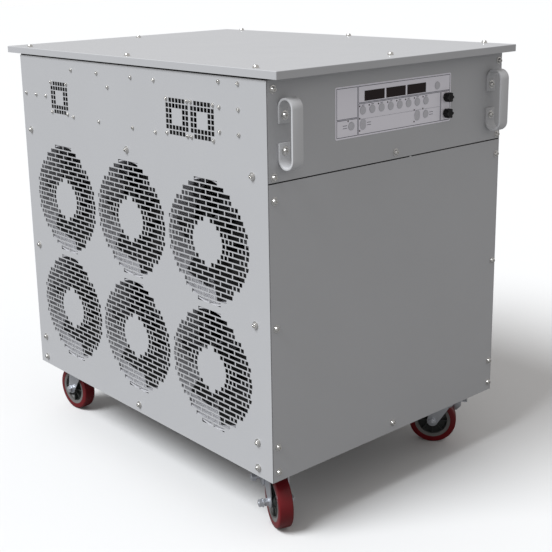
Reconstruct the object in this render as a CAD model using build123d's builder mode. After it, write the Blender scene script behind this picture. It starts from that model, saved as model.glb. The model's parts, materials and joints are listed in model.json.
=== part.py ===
from build123d import *
import math
import os

# Generator load bank: a fan-cooled resistor cabinet on four swivel casters.
# Millimetres, +Z up. X runs across the control face (the fan side is -X) and
# -Y is the control face. The origin is on the floor, under the middle of the
# overall footprint.

os.makedirs("parts", exist_ok=True)

# ---------------------------------------------------------------- cabinet
BODY_DEPTH = 1016.0
BODY_WIDTH = 775.0
BODY_HEIGHT = 889.0
SHEET = 2.0
PANEL_GAP = 0.5
SEAM_HEIGHT = 675.0
SEAM_GAP = 3.0

COVER_SIDE_OVERHANG = 5.0
COVER_FRONT_OVERHANG = 37.0
COVER_BACK_OVERHANG = 60.0
COVER_FLANGE = 17.0
COVER_RISE = 21.0
COVER_EDGE_RADIUS = 2.0

TRAY_LIP = 40.0
POST_LEG = 32.0
POST_THICKNESS = 3.0
RAIL_HEIGHT = 30.0

# ---------------------------------------------------------------- fans
FAN_PITCH = 304.8
FAN_COLUMNS = 3
FAN_ROWS = 2
FAN_FRONT_INSET = 208.0
FAN_LOW_HEIGHT = 209.0
GUARD_RADIUS = 144.0
GUARD_HUB_RADIUS = 52.0
GUARD_ROW_PITCH = 25.4
GUARD_BRICK_PITCH = 84.0
GUARD_WEB = 5.0
GUARD_SHORTEST_SLOT = 12.0

RING_WALL = 3.0
RING_DEPTH = 46.0
MOTOR_RADIUS = 55.0
MOTOR_LENGTH = 26.0
STRUT_WIDTH = 14.0
STRUT_COUNT = 4
MOTOR_SHAFT_RADIUS = 5.0
ROTOR_TIP_GAP = 4.0
ROTOR_HUB_RADIUS = 48.0
ROTOR_BLADES = 7
BLADE_THICKNESS = 3.0
BLADE_CHORD = 62.0
BLADE_ANGLE = 24.0
BLADE_ROOT_SINK = 6.0
BLADE_SETBACK = 1.0
SHAFT_CLEARANCE = 0.05

# ------------------------------------------------------- compartment fans
SMALL_FAN_SIZE = 86.0
SMALL_FAN_DEPTH = 25.0
SMALL_FAN_BORE_RADIUS = 37.0
SMALL_FAN_HEIGHT = 786.0
SMALL_FAN_INSETS = (212.0, 304.0, 819.0)
SMALL_GUARD_CELLS = 4
SMALL_GUARD_PITCH = 20.0
SMALL_GUARD_WEB = 5.0
SMALL_HUB_RADIUS = 16.0
SMALL_HUB_LENGTH = 17.0
SMALL_SHAFT_RADIUS = 2.5
SMALL_BLADES = 5
SMALL_TIP_GAP = 1.5

# ---------------------------------------------------------------- outlets
LOUVRE_COLUMNS = 2
LOUVRE_ROWS = 11
LOUVRE_LENGTH = 400.0
LOUVRE_PITCH = 52.0
LOUVRE_SLOT = 16.0
LOUVRE_COLUMN_PITCH = 460.0
LOUVRE_LOW_HEIGHT = 80.0
LOUVRE_PROJECTION = 4.5
LOUVRE_HOOD_HEIGHT = 26.0

# ---------------------------------------------------------- control face
OVERLAY_WIDTH = 384.0
OVERLAY_HEIGHT = 114.0
OVERLAY_THICKNESS = 0.8
OVERLAY_CENTRE_HEIGHT = 799.0
OVERLAY_CORNER = 4.0
WINDOW_WIDTH = 64.0
WINDOW_HEIGHT = 22.0
WINDOW_PITCH = 70.0
WINDOW_RISE = 31.0
WINDOW_PROUD = 0.4
WINDOW_CLEARANCE = 0.2
BUTTON_RADIUS = 9.0
BUTTON_PROUD = 0.9
BUTTON_TRAVEL = 0.5
BUTTON_STOP_GAP = 0.1
BUTTON_CLEARANCE = 0.4
STEP_BUTTONS = 8
STEP_PITCH = 30.0
STEP_FIRST = -107.0
STEP_RISE = 0.0
LOW_BUTTON_DROP = 31.0
MODE_BUTTON_X = -143.0
RESET_BUTTON_X = 143.0
FUSE_X = 175.0
FUSE_RISES = (1.0, -37.0)
FUSE_SLEEVE_RADIUS = 6.5
FUSE_SLEEVE_LENGTH = 34.0
FUSE_CAP_RADIUS = 8.5
FUSE_CAP_LENGTH = 13.0
FUSE_CAP_SLOT = 2.0
FUSE_FLANGE_RADIUS = 9.5
FUSE_FLANGE_THICKNESS = 2.0

HANDLE_HEIGHT = 150.0
HANDLE_PROJECTION = 45.0
HANDLE_BAR = 5.0
HANDLE_WIDTH = 30.0
HANDLE_OUTER_RADIUS = 14.0
HANDLE_FOOT = 52.0
HANDLE_SIDE_INSET = 45.0
HANDLE_CENTRE_HEIGHT = 778.0

# ---------------------------------------------------------------- inside
SHELF_FLANGE = 20.0
ELEMENT_RADIUS = 11.0
ELEMENT_COLUMNS = 4
ELEMENT_ROWS = 4
ELEMENT_PITCH = 70.0
RACK_PLATE = 4.0
RACK_MARGIN = 45.0
RACK_FRONT_GAP = 60.0
BOARD_THICKNESS = 1.6
BOARD_STANDOFF = 14.0
BOARD_MARGIN = 6.0
CONTACTOR_COUNT = 5
CONTACTOR_SIZE = (56.0, 90.0, 84.0)
CONTACTOR_PITCH = 74.0
CONTACTOR_STEP = 26.0
CONTACTOR_SETBACK = 190.0
TRANSFORMER_SIZE = (96.0, 80.0, 82.0)
TRANSFORMER_COIL = 14.0
TRANSFORMER_SETBACK = 420.0

# ---------------------------------------------------------------- rear
GLAND_COUNT = 4
GLAND_PITCH = 70.0
GLAND_PLUG_RADIUS = 12.0
GLAND_TAPER = 8.0
GLAND_RADIUS = 22.0
GLAND_LENGTH = 30.0
GLAND_FLANGE_LENGTH = 10.0
GLAND_HEIGHT = 110.0
GLAND_NECK_WALL = 3.0
GLAND_TAIL = 12.0
GLAND_THREAD_CLEARANCE = 0.3
EARTH_STUD_X = 200.0
EARTH_STUD_RADIUS = 5.0
EARTH_STUD_LENGTH = 20.0
EARTH_NUT = 8.0
EARTH_NUT_RADIUS = 10.0

# ---------------------------------------------------------------- screws
SCREW_ACROSS_CORNERS = 13.0
SCREW_HEAD = 4.0
SCREW_INSET = 18.0
SCREW_TOP_INSET = 20.0

# ---------------------------------------------------------------- casters
CASTER_HEIGHT = 152.0
CASTER_INSET_X = 82.0
CASTER_INSET_Y = 86.0
CASTER_PLATE_LENGTH = 105.0
CASTER_PLATE_WIDTH = 85.0
CASTER_PLATE_THICKNESS = 4.0
RACEWAY_RADIUS = 27.0
RACEWAY_HEIGHT = 8.0
SWIVEL_GAP = 0.3
KINGPIN_RADIUS = 6.0
CROWN_THICKNESS = 7.0
CROWN_BACK = 32.0
CROWN_FRONT = 30.0
CASTER_TRAIL = 30.0
FORK_LEG = 3.0
AXLE_RADIUS = 5.0
AXLE_BOSS_RADIUS = 14.0
BOLT_HEAD_RADIUS = 8.5
BOLT_HEAD = 6.0
WHEEL_RADIUS = 62.5
WHEEL_WIDTH = 34.0
TREAD_DEPTH = 16.0
TREAD_EDGE = 4.0
RIM_DEPTH = 6.0
WEB_THICKNESS = 10.0
HUB_BOSS_RADIUS = 15.0
HUB_SIDE_GAP = 1.5
WHEEL_SIDE_GAP = 4.0
BRAKE_BOLT_RADIUS = 4.0
BRAKE_BOLT_BACK = 14.0
BRAKE_BOLT_DROP = 14.0
BRAKE_BARREL_WALL = 2.5
BRAKE_PEDAL_LENGTH = 46.0
BRAKE_PEDAL_THICKNESS = 3.0
BRAKE_SIDE_GAP = 1.0
# Rest angle of each caster's axle about the vertical, in degrees from +X.
CASTER_ANGLES = {
    "front_left": 155.0,
    "front_right": 38.0,
    "rear_left": 3.0,
    "rear_right": 20.0,
}
BRAKED_CASTERS = ("front_left", "front_right")

# ------------------------------------------------------- derived positions
LEFT = -BODY_WIDTH / 2
RIGHT = BODY_WIDTH / 2
FRONT = -(BODY_DEPTH + COVER_BACK_OVERHANG - HANDLE_PROJECTION) / 2
BACK = FRONT + BODY_DEPTH
BOTTOM = CASTER_HEIGHT
TOP = BOTTOM + BODY_HEIGHT
SEAM = BOTTOM + SEAM_HEIGHT
COVER_TOP = TOP + COVER_RISE
MIDDLE = (FRONT + BACK) / 2
INNER_LEFT = LEFT + SHEET
INNER_RIGHT = RIGHT - SHEET
INNER_FRONT = FRONT + SHEET
INNER_BACK = BACK - SHEET
TRAY_FLOOR = BOTTOM + SHEET
BLADE_RUN = (BLADE_CHORD - BLADE_THICKNESS) * math.sin(math.radians(BLADE_ANGLE)) + BLADE_THICKNESS
ROTOR_HUB_LENGTH = BLADE_RUN + 2 * BLADE_SETBACK

# Face planes: local x runs along the wall, local y is world +Z, and a
# positive extrusion of the front, back and right planes goes outwards.
LEFT_PLANE = Plane(origin=(LEFT, 0, 0), x_dir=(0, 1, 0), z_dir=(1, 0, 0))
RIGHT_PLANE = Plane(origin=(RIGHT, 0, 0), x_dir=(0, 1, 0), z_dir=(1, 0, 0))
FRONT_PLANE = Plane(origin=(0, FRONT, 0), x_dir=(1, 0, 0), z_dir=(0, -1, 0))
BACK_PLANE = Plane(origin=(0, BACK, 0), x_dir=(-1, 0, 0), z_dir=(0, 1, 0))


def rectangle_between(low, high):
    """Rectangle in the open sketch from corner `low` to corner `high`."""
    with Locations(((low[0] + high[0]) / 2, (low[1] + high[1]) / 2)):
        Rectangle(high[0] - low[0], high[1] - low[1])


def fan_centres():
    """(y, z) of each large fan on the fan side."""
    centres = []
    for row in range(FAN_ROWS):
        for column in range(FAN_COLUMNS):
            y = FRONT + FAN_FRONT_INSET + column * FAN_PITCH
            z = BOTTOM + FAN_LOW_HEIGHT + row * FAN_PITCH
            centres.append((y, z))
    return centres


def small_fan_centres():
    """(y, z) of each compartment fan on the fan side."""
    return [(FRONT + inset, BOTTOM + SMALL_FAN_HEIGHT) for inset in SMALL_FAN_INSETS]


def guard_slots():
    """Brick-bond slots of one round guard, as (centre, height, length)."""
    slots = []
    height = GUARD_ROW_PITCH - GUARD_WEB
    rows = int((GUARD_RADIUS - height / 2) // GUARD_ROW_PITCH)
    for row in range(-rows, rows + 1):
        level = row * GUARD_ROW_PITCH
        reach = math.sqrt(GUARD_RADIUS**2 - (abs(level) + height / 2) ** 2)
        blank = 0.0
        if abs(level) < GUARD_HUB_RADIUS:
            blank = math.sqrt(GUARD_HUB_RADIUS**2 - level**2)
        shift = GUARD_BRICK_PITCH / 2 if row % 2 else 0.0
        runs = [(blank, reach), (-reach, -blank)] if blank else [(-reach, reach)]
        for start, end in runs:
            joint = math.ceil((start - shift) / GUARD_BRICK_PITCH) * GUARD_BRICK_PITCH + shift
            cuts = [start]
            while joint < end:
                cuts.append(joint)
                joint += GUARD_BRICK_PITCH
            cuts.append(end)
            for left, right in zip(cuts, cuts[1:]):
                low = left + GUARD_WEB / 2
                high = right - GUARD_WEB / 2
                if high - low >= GUARD_SHORTEST_SLOT:
                    slots.append(((low + high) / 2, level, high - low))
    return slots


def button_positions():
    """Name and (x, z) of each membrane button on the control overlay."""
    centre = BOTTOM + OVERLAY_CENTRE_HEIGHT
    step_last = STEP_FIRST + (STEP_BUTTONS - 1) * STEP_PITCH
    positions = {}
    for index in range(STEP_BUTTONS):
        positions[f"button_step_{index + 1}"] = (STEP_FIRST + index * STEP_PITCH, centre + STEP_RISE)
    positions["button_fan"] = (STEP_FIRST, centre - LOW_BUTTON_DROP)
    positions["button_load"] = (step_last - STEP_PITCH, centre - LOW_BUTTON_DROP)
    positions["button_master"] = (step_last, centre - LOW_BUTTON_DROP)
    positions["button_mode"] = (MODE_BUTTON_X, centre - LOW_BUTTON_DROP)
    positions["button_reset"] = (RESET_BUTTON_X, centre + WINDOW_RISE)
    return positions


def window_positions():
    """(x, z) of each display window."""
    z = BOTTOM + OVERLAY_CENTRE_HEIGHT + WINDOW_RISE
    return [(column * WINDOW_PITCH, z) for column in (-1, 0, 1)]


def fuse_positions():
    """(x, z) of each fuse holder."""
    return [(FUSE_X, BOTTOM + OVERLAY_CENTRE_HEIGHT + rise) for rise in FUSE_RISES]


def caster_frames():
    """Name and plane of each caster: origin on the floor under the kingpin,
    local x along the axle and local y towards the trailing wheel."""
    reach_x = BODY_WIDTH / 2 - CASTER_INSET_X
    reach_y = BODY_DEPTH / 2 - CASTER_INSET_Y
    frames = {}
    for corner, angle in CASTER_ANGLES.items():
        side_x = -1 if "left" in corner else 1
        side_y = -1 if "front" in corner else 1
        turn = math.radians(angle)
        frames[corner] = Plane(
            origin=(side_x * reach_x, MIDDLE + side_y * reach_y, 0),
            x_dir=(math.cos(turn), math.sin(turn), 0),
            z_dir=(0, 0, 1),
        )
    return frames


# ------------------------------------------------------------- base tray
with BuildPart() as base_tray:
    with BuildSketch(Plane.XY.offset(BOTTOM)):
        rectangle_between((INNER_LEFT, INNER_FRONT), (INNER_RIGHT, INNER_BACK))
    extrude(amount=TRAY_LIP)
    with BuildSketch(Plane.XY.offset(TRAY_FLOOR)):
        rectangle_between(
            (INNER_LEFT + SHEET, INNER_FRONT + SHEET), (INNER_RIGHT - SHEET, INNER_BACK - SHEET)
        )
    extrude(amount=TRAY_LIP, mode=Mode.SUBTRACT)
base_tray.part.label = "base_tray"
export_step(base_tray.part, "parts/base_tray.step")

# ---------------------------------------------------------- corner posts
POST_LEFT = INNER_LEFT + SHEET
POST_FRONT = INNER_FRONT + SHEET
POST_TOP = TOP - RAIL_HEIGHT
with BuildPart() as corner_posts:
    with BuildSketch(Plane.XY.offset(TRAY_FLOOR)) as post_outline:
        for side_x in (-1, 1):
            for side_y in (-1, 1):
                with Locations((side_x * -POST_LEFT, MIDDLE + side_y * (MIDDLE - POST_FRONT))):
                    corner_x = Align.MAX if side_x > 0 else Align.MIN
                    corner_y = Align.MAX if side_y > 0 else Align.MIN
                    Rectangle(POST_LEG, POST_THICKNESS, align=(corner_x, corner_y))
                    Rectangle(POST_THICKNESS, POST_LEG, align=(corner_x, corner_y))
    extrude(amount=POST_TOP - TRAY_FLOOR)
corner_posts.part.label = "corner_posts"
export_step(corner_posts.part, "parts/corner_posts.step")

# ------------------------------------------------------------- top rails
with BuildPart() as top_rails:
    with BuildSketch(Plane.XY.offset(POST_TOP)):
        rectangle_between((INNER_LEFT, INNER_FRONT), (INNER_RIGHT, INNER_BACK))
        with Locations((0, MIDDLE)):
            Rectangle(
                BODY_WIDTH - 2 * (SHEET + POST_LEG),
                BODY_DEPTH - 2 * (SHEET + POST_LEG),
                mode=Mode.SUBTRACT,
            )
    extrude(amount=POST_THICKNESS)
    with BuildSketch(Plane.XY.offset(POST_TOP)):
        rectangle_between((INNER_LEFT, INNER_FRONT), (INNER_RIGHT, INNER_BACK))
        with Locations((0, MIDDLE)):
            Rectangle(
                BODY_WIDTH - 2 * (SHEET + POST_THICKNESS),
                BODY_DEPTH - 2 * (SHEET + POST_THICKNESS),
                mode=Mode.SUBTRACT,
            )
    extrude(amount=COVER_TOP - SHEET - POST_TOP)
top_rails.part.label = "top_rails"
export_step(top_rails.part, "parts/top_rails.step")

# ------------------------------------------------------------- top cover
COVER_LOW = (LEFT - COVER_SIDE_OVERHANG, FRONT - COVER_FRONT_OVERHANG)
COVER_HIGH = (RIGHT + COVER_SIDE_OVERHANG, BACK + COVER_BACK_OVERHANG)
with BuildPart() as top_cover:
    with BuildSketch(Plane.XY.offset(COVER_TOP - COVER_FLANGE)):
        rectangle_between(COVER_LOW, COVER_HIGH)
    extrude(amount=COVER_FLANGE)
    fillet(top_cover.edges().filter_by(Axis.Z), COVER_EDGE_RADIUS)
    fillet(top_cover.faces().sort_by(Axis.Z)[-1].edges(), COVER_EDGE_RADIUS * 0.75)
    with BuildSketch(Plane.XY.offset(COVER_TOP - COVER_FLANGE)):
        rectangle_between(
            (COVER_LOW[0] + SHEET, COVER_LOW[1] + SHEET), (COVER_HIGH[0] - SHEET, COVER_HIGH[1] - SHEET)
        )
    extrude(amount=COVER_FLANGE - SHEET, mode=Mode.SUBTRACT)
top_cover.part.label = "top_cover"
export_step(top_cover.part, "parts/top_cover.step")

# -------------------------------------------------------- fan side panel
with BuildPart() as fan_side_panel:
    with BuildSketch(LEFT_PLANE):
        rectangle_between((FRONT, BOTTOM), (BACK, TOP))
        for centre_y, centre_z in fan_centres():
            for along, level, length in guard_slots():
                with Locations((centre_y + along, centre_z + level)):
                    Rectangle(length, GUARD_ROW_PITCH - GUARD_WEB, mode=Mode.SUBTRACT)
        small_middle = (SMALL_GUARD_CELLS - 1) / 2
        for centre_y, centre_z in small_fan_centres():
            for row in range(SMALL_GUARD_CELLS):
                for column in range(SMALL_GUARD_CELLS):
                    across = column - small_middle
                    up = row - small_middle
                    if max(abs(across), abs(up)) > small_middle / 2:
                        cell = (centre_y + across * SMALL_GUARD_PITCH, centre_z + up * SMALL_GUARD_PITCH)
                        with Locations(cell):
                            Rectangle(
                                SMALL_GUARD_PITCH - SMALL_GUARD_WEB,
                                SMALL_GUARD_PITCH - SMALL_GUARD_WEB,
                                mode=Mode.SUBTRACT,
                            )
    extrude(amount=SHEET)
fan_side_panel.part.label = "fan_side_panel"
export_step(fan_side_panel.part, "parts/fan_side_panel.step")

# -------------------------------------------------- exhaust side panel
louvre_centres = [
    (
        MIDDLE + (column - (LOUVRE_COLUMNS - 1) / 2) * LOUVRE_COLUMN_PITCH,
        BOTTOM + LOUVRE_LOW_HEIGHT + row * LOUVRE_PITCH,
    )
    for column in range(LOUVRE_COLUMNS)
    for row in range(LOUVRE_ROWS)
]
with BuildPart() as exhaust_side_panel:
    with BuildSketch(RIGHT_PLANE):
        rectangle_between((FRONT, BOTTOM), (BACK, TOP))
        with Locations(louvre_centres):
            Rectangle(LOUVRE_LENGTH, LOUVRE_SLOT, mode=Mode.SUBTRACT)
    extrude(amount=-SHEET)
    for centre_y, centre_z in louvre_centres:
        hood_end = Plane(
            origin=(RIGHT, centre_y - LOUVRE_LENGTH / 2 - SHEET, centre_z),
            x_dir=(1, 0, 0),
            z_dir=(0, -1, 0),
        )
        hood_top = LOUVRE_SLOT / 2 + LOUVRE_HOOD_HEIGHT - LOUVRE_SLOT
        with BuildSketch(hood_end):
            with BuildLine():
                Polyline(
                    (0, hood_top),
                    (LOUVRE_PROJECTION, -LOUVRE_SLOT / 2),
                    (LOUVRE_PROJECTION - SHEET, -LOUVRE_SLOT / 2),
                    (0, LOUVRE_SLOT / 2),
                    close=True,
                )
            make_face()
        extrude(amount=-(LOUVRE_LENGTH + 2 * SHEET))
exhaust_side_panel.part.label = "exhaust_side_panel"
export_step(exhaust_side_panel.part, "parts/exhaust_side_panel.step")

# ---------------------------------------------------------- control panel
FACE_LEFT = INNER_LEFT + PANEL_GAP
FACE_RIGHT = INNER_RIGHT - PANEL_GAP
with BuildPart() as control_panel:
    with BuildSketch(FRONT_PLANE):
        rectangle_between((FACE_LEFT, SEAM + SEAM_GAP / 2), (FACE_RIGHT, TOP))
        with Locations(fuse_positions()):
            Circle(FUSE_SLEEVE_RADIUS + BUTTON_CLEARANCE, mode=Mode.SUBTRACT)
    extrude(amount=-SHEET)
control_panel.part.label = "control_panel"
export_step(control_panel.part, "parts/control_panel.step")

# ------------------------------------------------------- lower front panel
with BuildPart() as lower_front_panel:
    with BuildSketch(FRONT_PLANE):
        rectangle_between((FACE_LEFT, BOTTOM), (FACE_RIGHT, SEAM - SEAM_GAP / 2))
    extrude(amount=-SHEET)
lower_front_panel.part.label = "lower_front_panel"
export_step(lower_front_panel.part, "parts/lower_front_panel.step")

# ------------------------------------------------------------- rear panel
GLAND_NECK_RADIUS = GLAND_PLUG_RADIUS + GLAND_NECK_WALL
gland_places = [
    ((index - (GLAND_COUNT - 1) / 2) * GLAND_PITCH, BOTTOM + GLAND_HEIGHT) for index in range(GLAND_COUNT)
]
with BuildPart() as rear_panel:
    with BuildSketch(BACK_PLANE):
        rectangle_between((FACE_LEFT, BOTTOM), (FACE_RIGHT, TOP))
        with Locations(gland_places):
            Circle(GLAND_NECK_RADIUS + GLAND_THREAD_CLEARANCE, mode=Mode.SUBTRACT)
    extrude(amount=-SHEET)
rear_panel.part.label = "rear_panel"
export_step(rear_panel.part, "parts/rear_panel.step")

# ------------------------------------------------- rear cable connections
with BuildPart() as rear_connections:
    with BuildSketch(BACK_PLANE):
        with Locations(gland_places):
            RegularPolygon(GLAND_RADIUS, 6)
    extrude(amount=GLAND_FLANGE_LENGTH)
    with BuildSketch(BACK_PLANE.offset(GLAND_FLANGE_LENGTH)):
        with Locations(gland_places):
            Circle(GLAND_RADIUS * math.cos(math.pi / 6))
    extrude(amount=GLAND_LENGTH - GLAND_FLANGE_LENGTH, taper=GLAND_TAPER)
    with BuildSketch(BACK_PLANE.offset(GLAND_LENGTH)):
        with Locations(gland_places):
            Circle(GLAND_PLUG_RADIUS)
    extrude(amount=SHEET)
    with BuildSketch(BACK_PLANE):
        with Locations(gland_places):
            Circle(GLAND_NECK_RADIUS)
    extrude(amount=-GLAND_TAIL)
    with BuildSketch(BACK_PLANE):
        with Locations((-EARTH_STUD_X, BOTTOM + GLAND_HEIGHT)):
            RegularPolygon(EARTH_NUT_RADIUS, 6)
    extrude(amount=EARTH_NUT)
    with BuildSketch(BACK_PLANE.offset(EARTH_NUT)):
        with Locations((-EARTH_STUD_X, BOTTOM + GLAND_HEIGHT)):
            Circle(EARTH_STUD_RADIUS)
    extrude(amount=EARTH_STUD_LENGTH)
rear_connections.part.label = "rear_connections"
export_step(rear_connections.part, "parts/rear_connections.step")

# ---------------------------------------------------------- control overlay
with BuildPart() as control_overlay:
    with BuildSketch(FRONT_PLANE):
        with Locations((0, BOTTOM + OVERLAY_CENTRE_HEIGHT)):
            RectangleRounded(OVERLAY_WIDTH, OVERLAY_HEIGHT, OVERLAY_CORNER)
        with Locations(window_positions()):
            Rectangle(
                WINDOW_WIDTH + 2 * WINDOW_CLEARANCE,
                WINDOW_HEIGHT + 2 * WINDOW_CLEARANCE,
                mode=Mode.SUBTRACT,
            )
        with Locations(list(button_positions().values())):
            Circle(BUTTON_RADIUS + BUTTON_CLEARANCE, mode=Mode.SUBTRACT)
        with Locations(fuse_positions()):
            Circle(FUSE_SLEEVE_RADIUS + BUTTON_CLEARANCE, mode=Mode.SUBTRACT)
    extrude(amount=OVERLAY_THICKNESS)
control_overlay.part.label = "control_overlay"
export_step(control_overlay.part, "parts/control_overlay.step")

# --------------------------------------------------------- display windows
with BuildPart() as display_windows:
    with BuildSketch(FRONT_PLANE):
        with Locations(window_positions()):
            Rectangle(WINDOW_WIDTH, WINDOW_HEIGHT)
    extrude(amount=OVERLAY_THICKNESS + WINDOW_PROUD)
display_windows.part.label = "display_windows"
export_step(display_windows.part, "parts/display_windows.step")

# --------------------------------------------------------- membrane buttons
for name, place in button_positions().items():
    with BuildPart() as button:
        with BuildSketch(FRONT_PLANE.offset(BUTTON_TRAVEL + BUTTON_STOP_GAP)):
            with Locations(place):
                Circle(BUTTON_RADIUS)
        extrude(amount=OVERLAY_THICKNESS + BUTTON_PROUD - BUTTON_TRAVEL - BUTTON_STOP_GAP)
    button.part.label = name
    export_step(button.part, f"parts/{name}.step")

# ------------------------------------------------------------ fuse holders
with BuildPart() as fuse_sleeves:
    with BuildSketch(FRONT_PLANE.offset(OVERLAY_THICKNESS)):
        with Locations(fuse_positions()):
            Circle(FUSE_FLANGE_RADIUS)
    extrude(amount=FUSE_FLANGE_THICKNESS)
    with BuildSketch(FRONT_PLANE.offset(OVERLAY_THICKNESS)):
        with Locations(fuse_positions()):
            Circle(FUSE_SLEEVE_RADIUS)
    extrude(amount=-FUSE_SLEEVE_LENGTH)
fuse_sleeves.part.label = "fuse_sleeves"
export_step(fuse_sleeves.part, "parts/fuse_sleeves.step")

FUSE_CAP_START = OVERLAY_THICKNESS + FUSE_FLANGE_THICKNESS + SWIVEL_GAP
for index, place in enumerate(fuse_positions()):
    with BuildPart() as fuse_cap:
        with BuildSketch(FRONT_PLANE.offset(FUSE_CAP_START)):
            with Locations(place):
                Circle(FUSE_CAP_RADIUS)
        extrude(amount=FUSE_CAP_LENGTH)
        with BuildSketch(FRONT_PLANE.offset(FUSE_CAP_START + FUSE_CAP_LENGTH)):
            with Locations(place):
                Rectangle(2 * FUSE_CAP_RADIUS, FUSE_CAP_SLOT)
        extrude(amount=-FUSE_CAP_SLOT, mode=Mode.SUBTRACT)
    fuse_cap.part.label = f"fuse_cap_{index + 1}"
    export_step(fuse_cap.part, f"parts/fuse_cap_{index + 1}.step")

# ----------------------------------------------------------- lift handles
HANDLE_REACH = BODY_WIDTH / 2 - HANDLE_SIDE_INSET
with BuildPart() as lift_handles:
    for centre_x in (-HANDLE_REACH, HANDLE_REACH):
        loop_side = Plane(
            origin=(centre_x - HANDLE_WIDTH / 2, FRONT, 0), x_dir=(0, 1, 0), z_dir=(1, 0, 0)
        )
        with BuildSketch(loop_side):
            with Locations((-HANDLE_PROJECTION / 2, BOTTOM + HANDLE_CENTRE_HEIGHT)):
                RectangleRounded(HANDLE_PROJECTION, HANDLE_HEIGHT, HANDLE_OUTER_RADIUS)
                RectangleRounded(
                    HANDLE_PROJECTION - 2 * HANDLE_BAR,
                    HANDLE_HEIGHT - 2 * HANDLE_BAR,
                    HANDLE_OUTER_RADIUS - HANDLE_BAR,
                    mode=Mode.SUBTRACT,
                )
            with Locations((-HANDLE_BAR / 2, BOTTOM + HANDLE_CENTRE_HEIGHT)):
                Rectangle(HANDLE_BAR, HANDLE_HEIGHT - 2 * HANDLE_FOOT, mode=Mode.SUBTRACT)
        extrude(amount=HANDLE_WIDTH)
lift_handles.part.label = "lift_handles"
export_step(lift_handles.part, "parts/lift_handles.step")

# ------------------------------------------------------------- fan frames
RING_PLANE = LEFT_PLANE.offset(SHEET)
RING_RADIUS = GUARD_RADIUS + RING_WALL
with BuildPart() as fan_frames:
    with BuildSketch(RING_PLANE):
        with Locations(fan_centres()):
            Circle(RING_RADIUS)
            Circle(GUARD_RADIUS, mode=Mode.SUBTRACT)
    extrude(amount=RING_DEPTH + MOTOR_LENGTH)
    with BuildSketch(RING_PLANE.offset(RING_DEPTH)):
        for centre in fan_centres():
            with Locations(centre):
                Circle(MOTOR_RADIUS)
                with PolarLocations((RING_RADIUS - RING_WALL / 2) / 2, STRUT_COUNT):
                    Rectangle(RING_RADIUS - RING_WALL / 2, STRUT_WIDTH)
    extrude(amount=MOTOR_LENGTH)
    with BuildSketch(RING_PLANE.offset(RING_DEPTH)):
        with Locations(fan_centres()):
            Circle(MOTOR_SHAFT_RADIUS)
    extrude(amount=-(ROTOR_HUB_LENGTH / 2))
fan_frames.part.label = "fan_frames"
export_step(fan_frames.part, "parts/fan_frames.step")


def build_rotor(centre, back_plane, hub_radius, hub_length, tip_radius, blades, chord, shaft_radius):
    """Axial impeller whose hub's back face lies on `back_plane`."""
    with BuildPart() as rotor:
        with BuildSketch(back_plane):
            with Locations(centre):
                Circle(hub_radius)
        extrude(amount=-hub_length)
        with BuildSketch(back_plane):
            with Locations(centre):
                Circle(shaft_radius + SHAFT_CLEARANCE)
        extrude(amount=-(hub_length / 2 + SWIVEL_GAP), mode=Mode.SUBTRACT)
        hub_middle = back_plane.offset(-hub_length / 2)
        for index in range(blades):
            turn = 2 * math.pi * index / blades
            radial = hub_middle.x_dir * math.cos(turn) + hub_middle.y_dir * math.sin(turn)
            root = hub_middle.from_local_coords(Vector(centre[0], centre[1], 0))
            start = root + radial * (hub_radius - BLADE_ROOT_SINK)
            spanwise = radial.cross(hub_middle.z_dir)
            pitch = math.radians(BLADE_ANGLE)
            along = spanwise * math.cos(pitch) + hub_middle.z_dir * math.sin(pitch)
            with BuildSketch(Plane(origin=start, x_dir=along, z_dir=radial)):
                SlotOverall(chord, BLADE_THICKNESS)
            extrude(amount=tip_radius - hub_radius + BLADE_ROOT_SINK)
    return rotor.part


ROTOR_PLANE = RING_PLANE.offset(RING_DEPTH - SWIVEL_GAP)
for index, centre in enumerate(fan_centres()):
    fan_rotor = build_rotor(
        centre,
        ROTOR_PLANE,
        ROTOR_HUB_RADIUS,
        ROTOR_HUB_LENGTH,
        GUARD_RADIUS - ROTOR_TIP_GAP,
        ROTOR_BLADES,
        BLADE_CHORD,
        MOTOR_SHAFT_RADIUS,
    )
    fan_rotor.label = f"fan_rotor_{index + 1}"
    export_step(fan_rotor, f"parts/fan_rotor_{index + 1}.step")

# ------------------------------------------------------ compartment fans
with BuildPart() as small_fan_frames:
    with BuildSketch(RING_PLANE):
        with Locations(small_fan_centres()):
            Rectangle(SMALL_FAN_SIZE, SMALL_FAN_SIZE)
            Circle(SMALL_FAN_BORE_RADIUS, mode=Mode.SUBTRACT)
    extrude(amount=SMALL_FAN_DEPTH)
    with BuildSketch(RING_PLANE.offset(SMALL_FAN_DEPTH)):
        with Locations(small_fan_centres()):
            Circle(SMALL_HUB_RADIUS)
            Rectangle(2 * SMALL_FAN_BORE_RADIUS + SHEET, SHEET * 2)
            Rectangle(SHEET * 2, 2 * SMALL_FAN_BORE_RADIUS + SHEET)
    extrude(amount=-(SMALL_FAN_DEPTH - SMALL_HUB_LENGTH - SHEET))
    with BuildSketch(RING_PLANE.offset(SMALL_HUB_LENGTH + SHEET)):
        with Locations(small_fan_centres()):
            Circle(SMALL_SHAFT_RADIUS)
    extrude(amount=-(SMALL_HUB_LENGTH / 2))
small_fan_frames.part.label = "small_fan_frames"
export_step(small_fan_frames.part, "parts/small_fan_frames.step")

for index, centre in enumerate(small_fan_centres()):
    small_rotor = build_rotor(
        centre,
        RING_PLANE.offset(SMALL_HUB_LENGTH + SHEET - SWIVEL_GAP),
        SMALL_HUB_RADIUS,
        SMALL_HUB_LENGTH,
        SMALL_FAN_BORE_RADIUS - SMALL_TIP_GAP,
        SMALL_BLADES,
        SMALL_HUB_LENGTH,
        SMALL_SHAFT_RADIUS,
    )
    small_rotor.label = f"small_rotor_{index + 1}"
    export_step(small_rotor, f"parts/small_rotor_{index + 1}.step")

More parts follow.
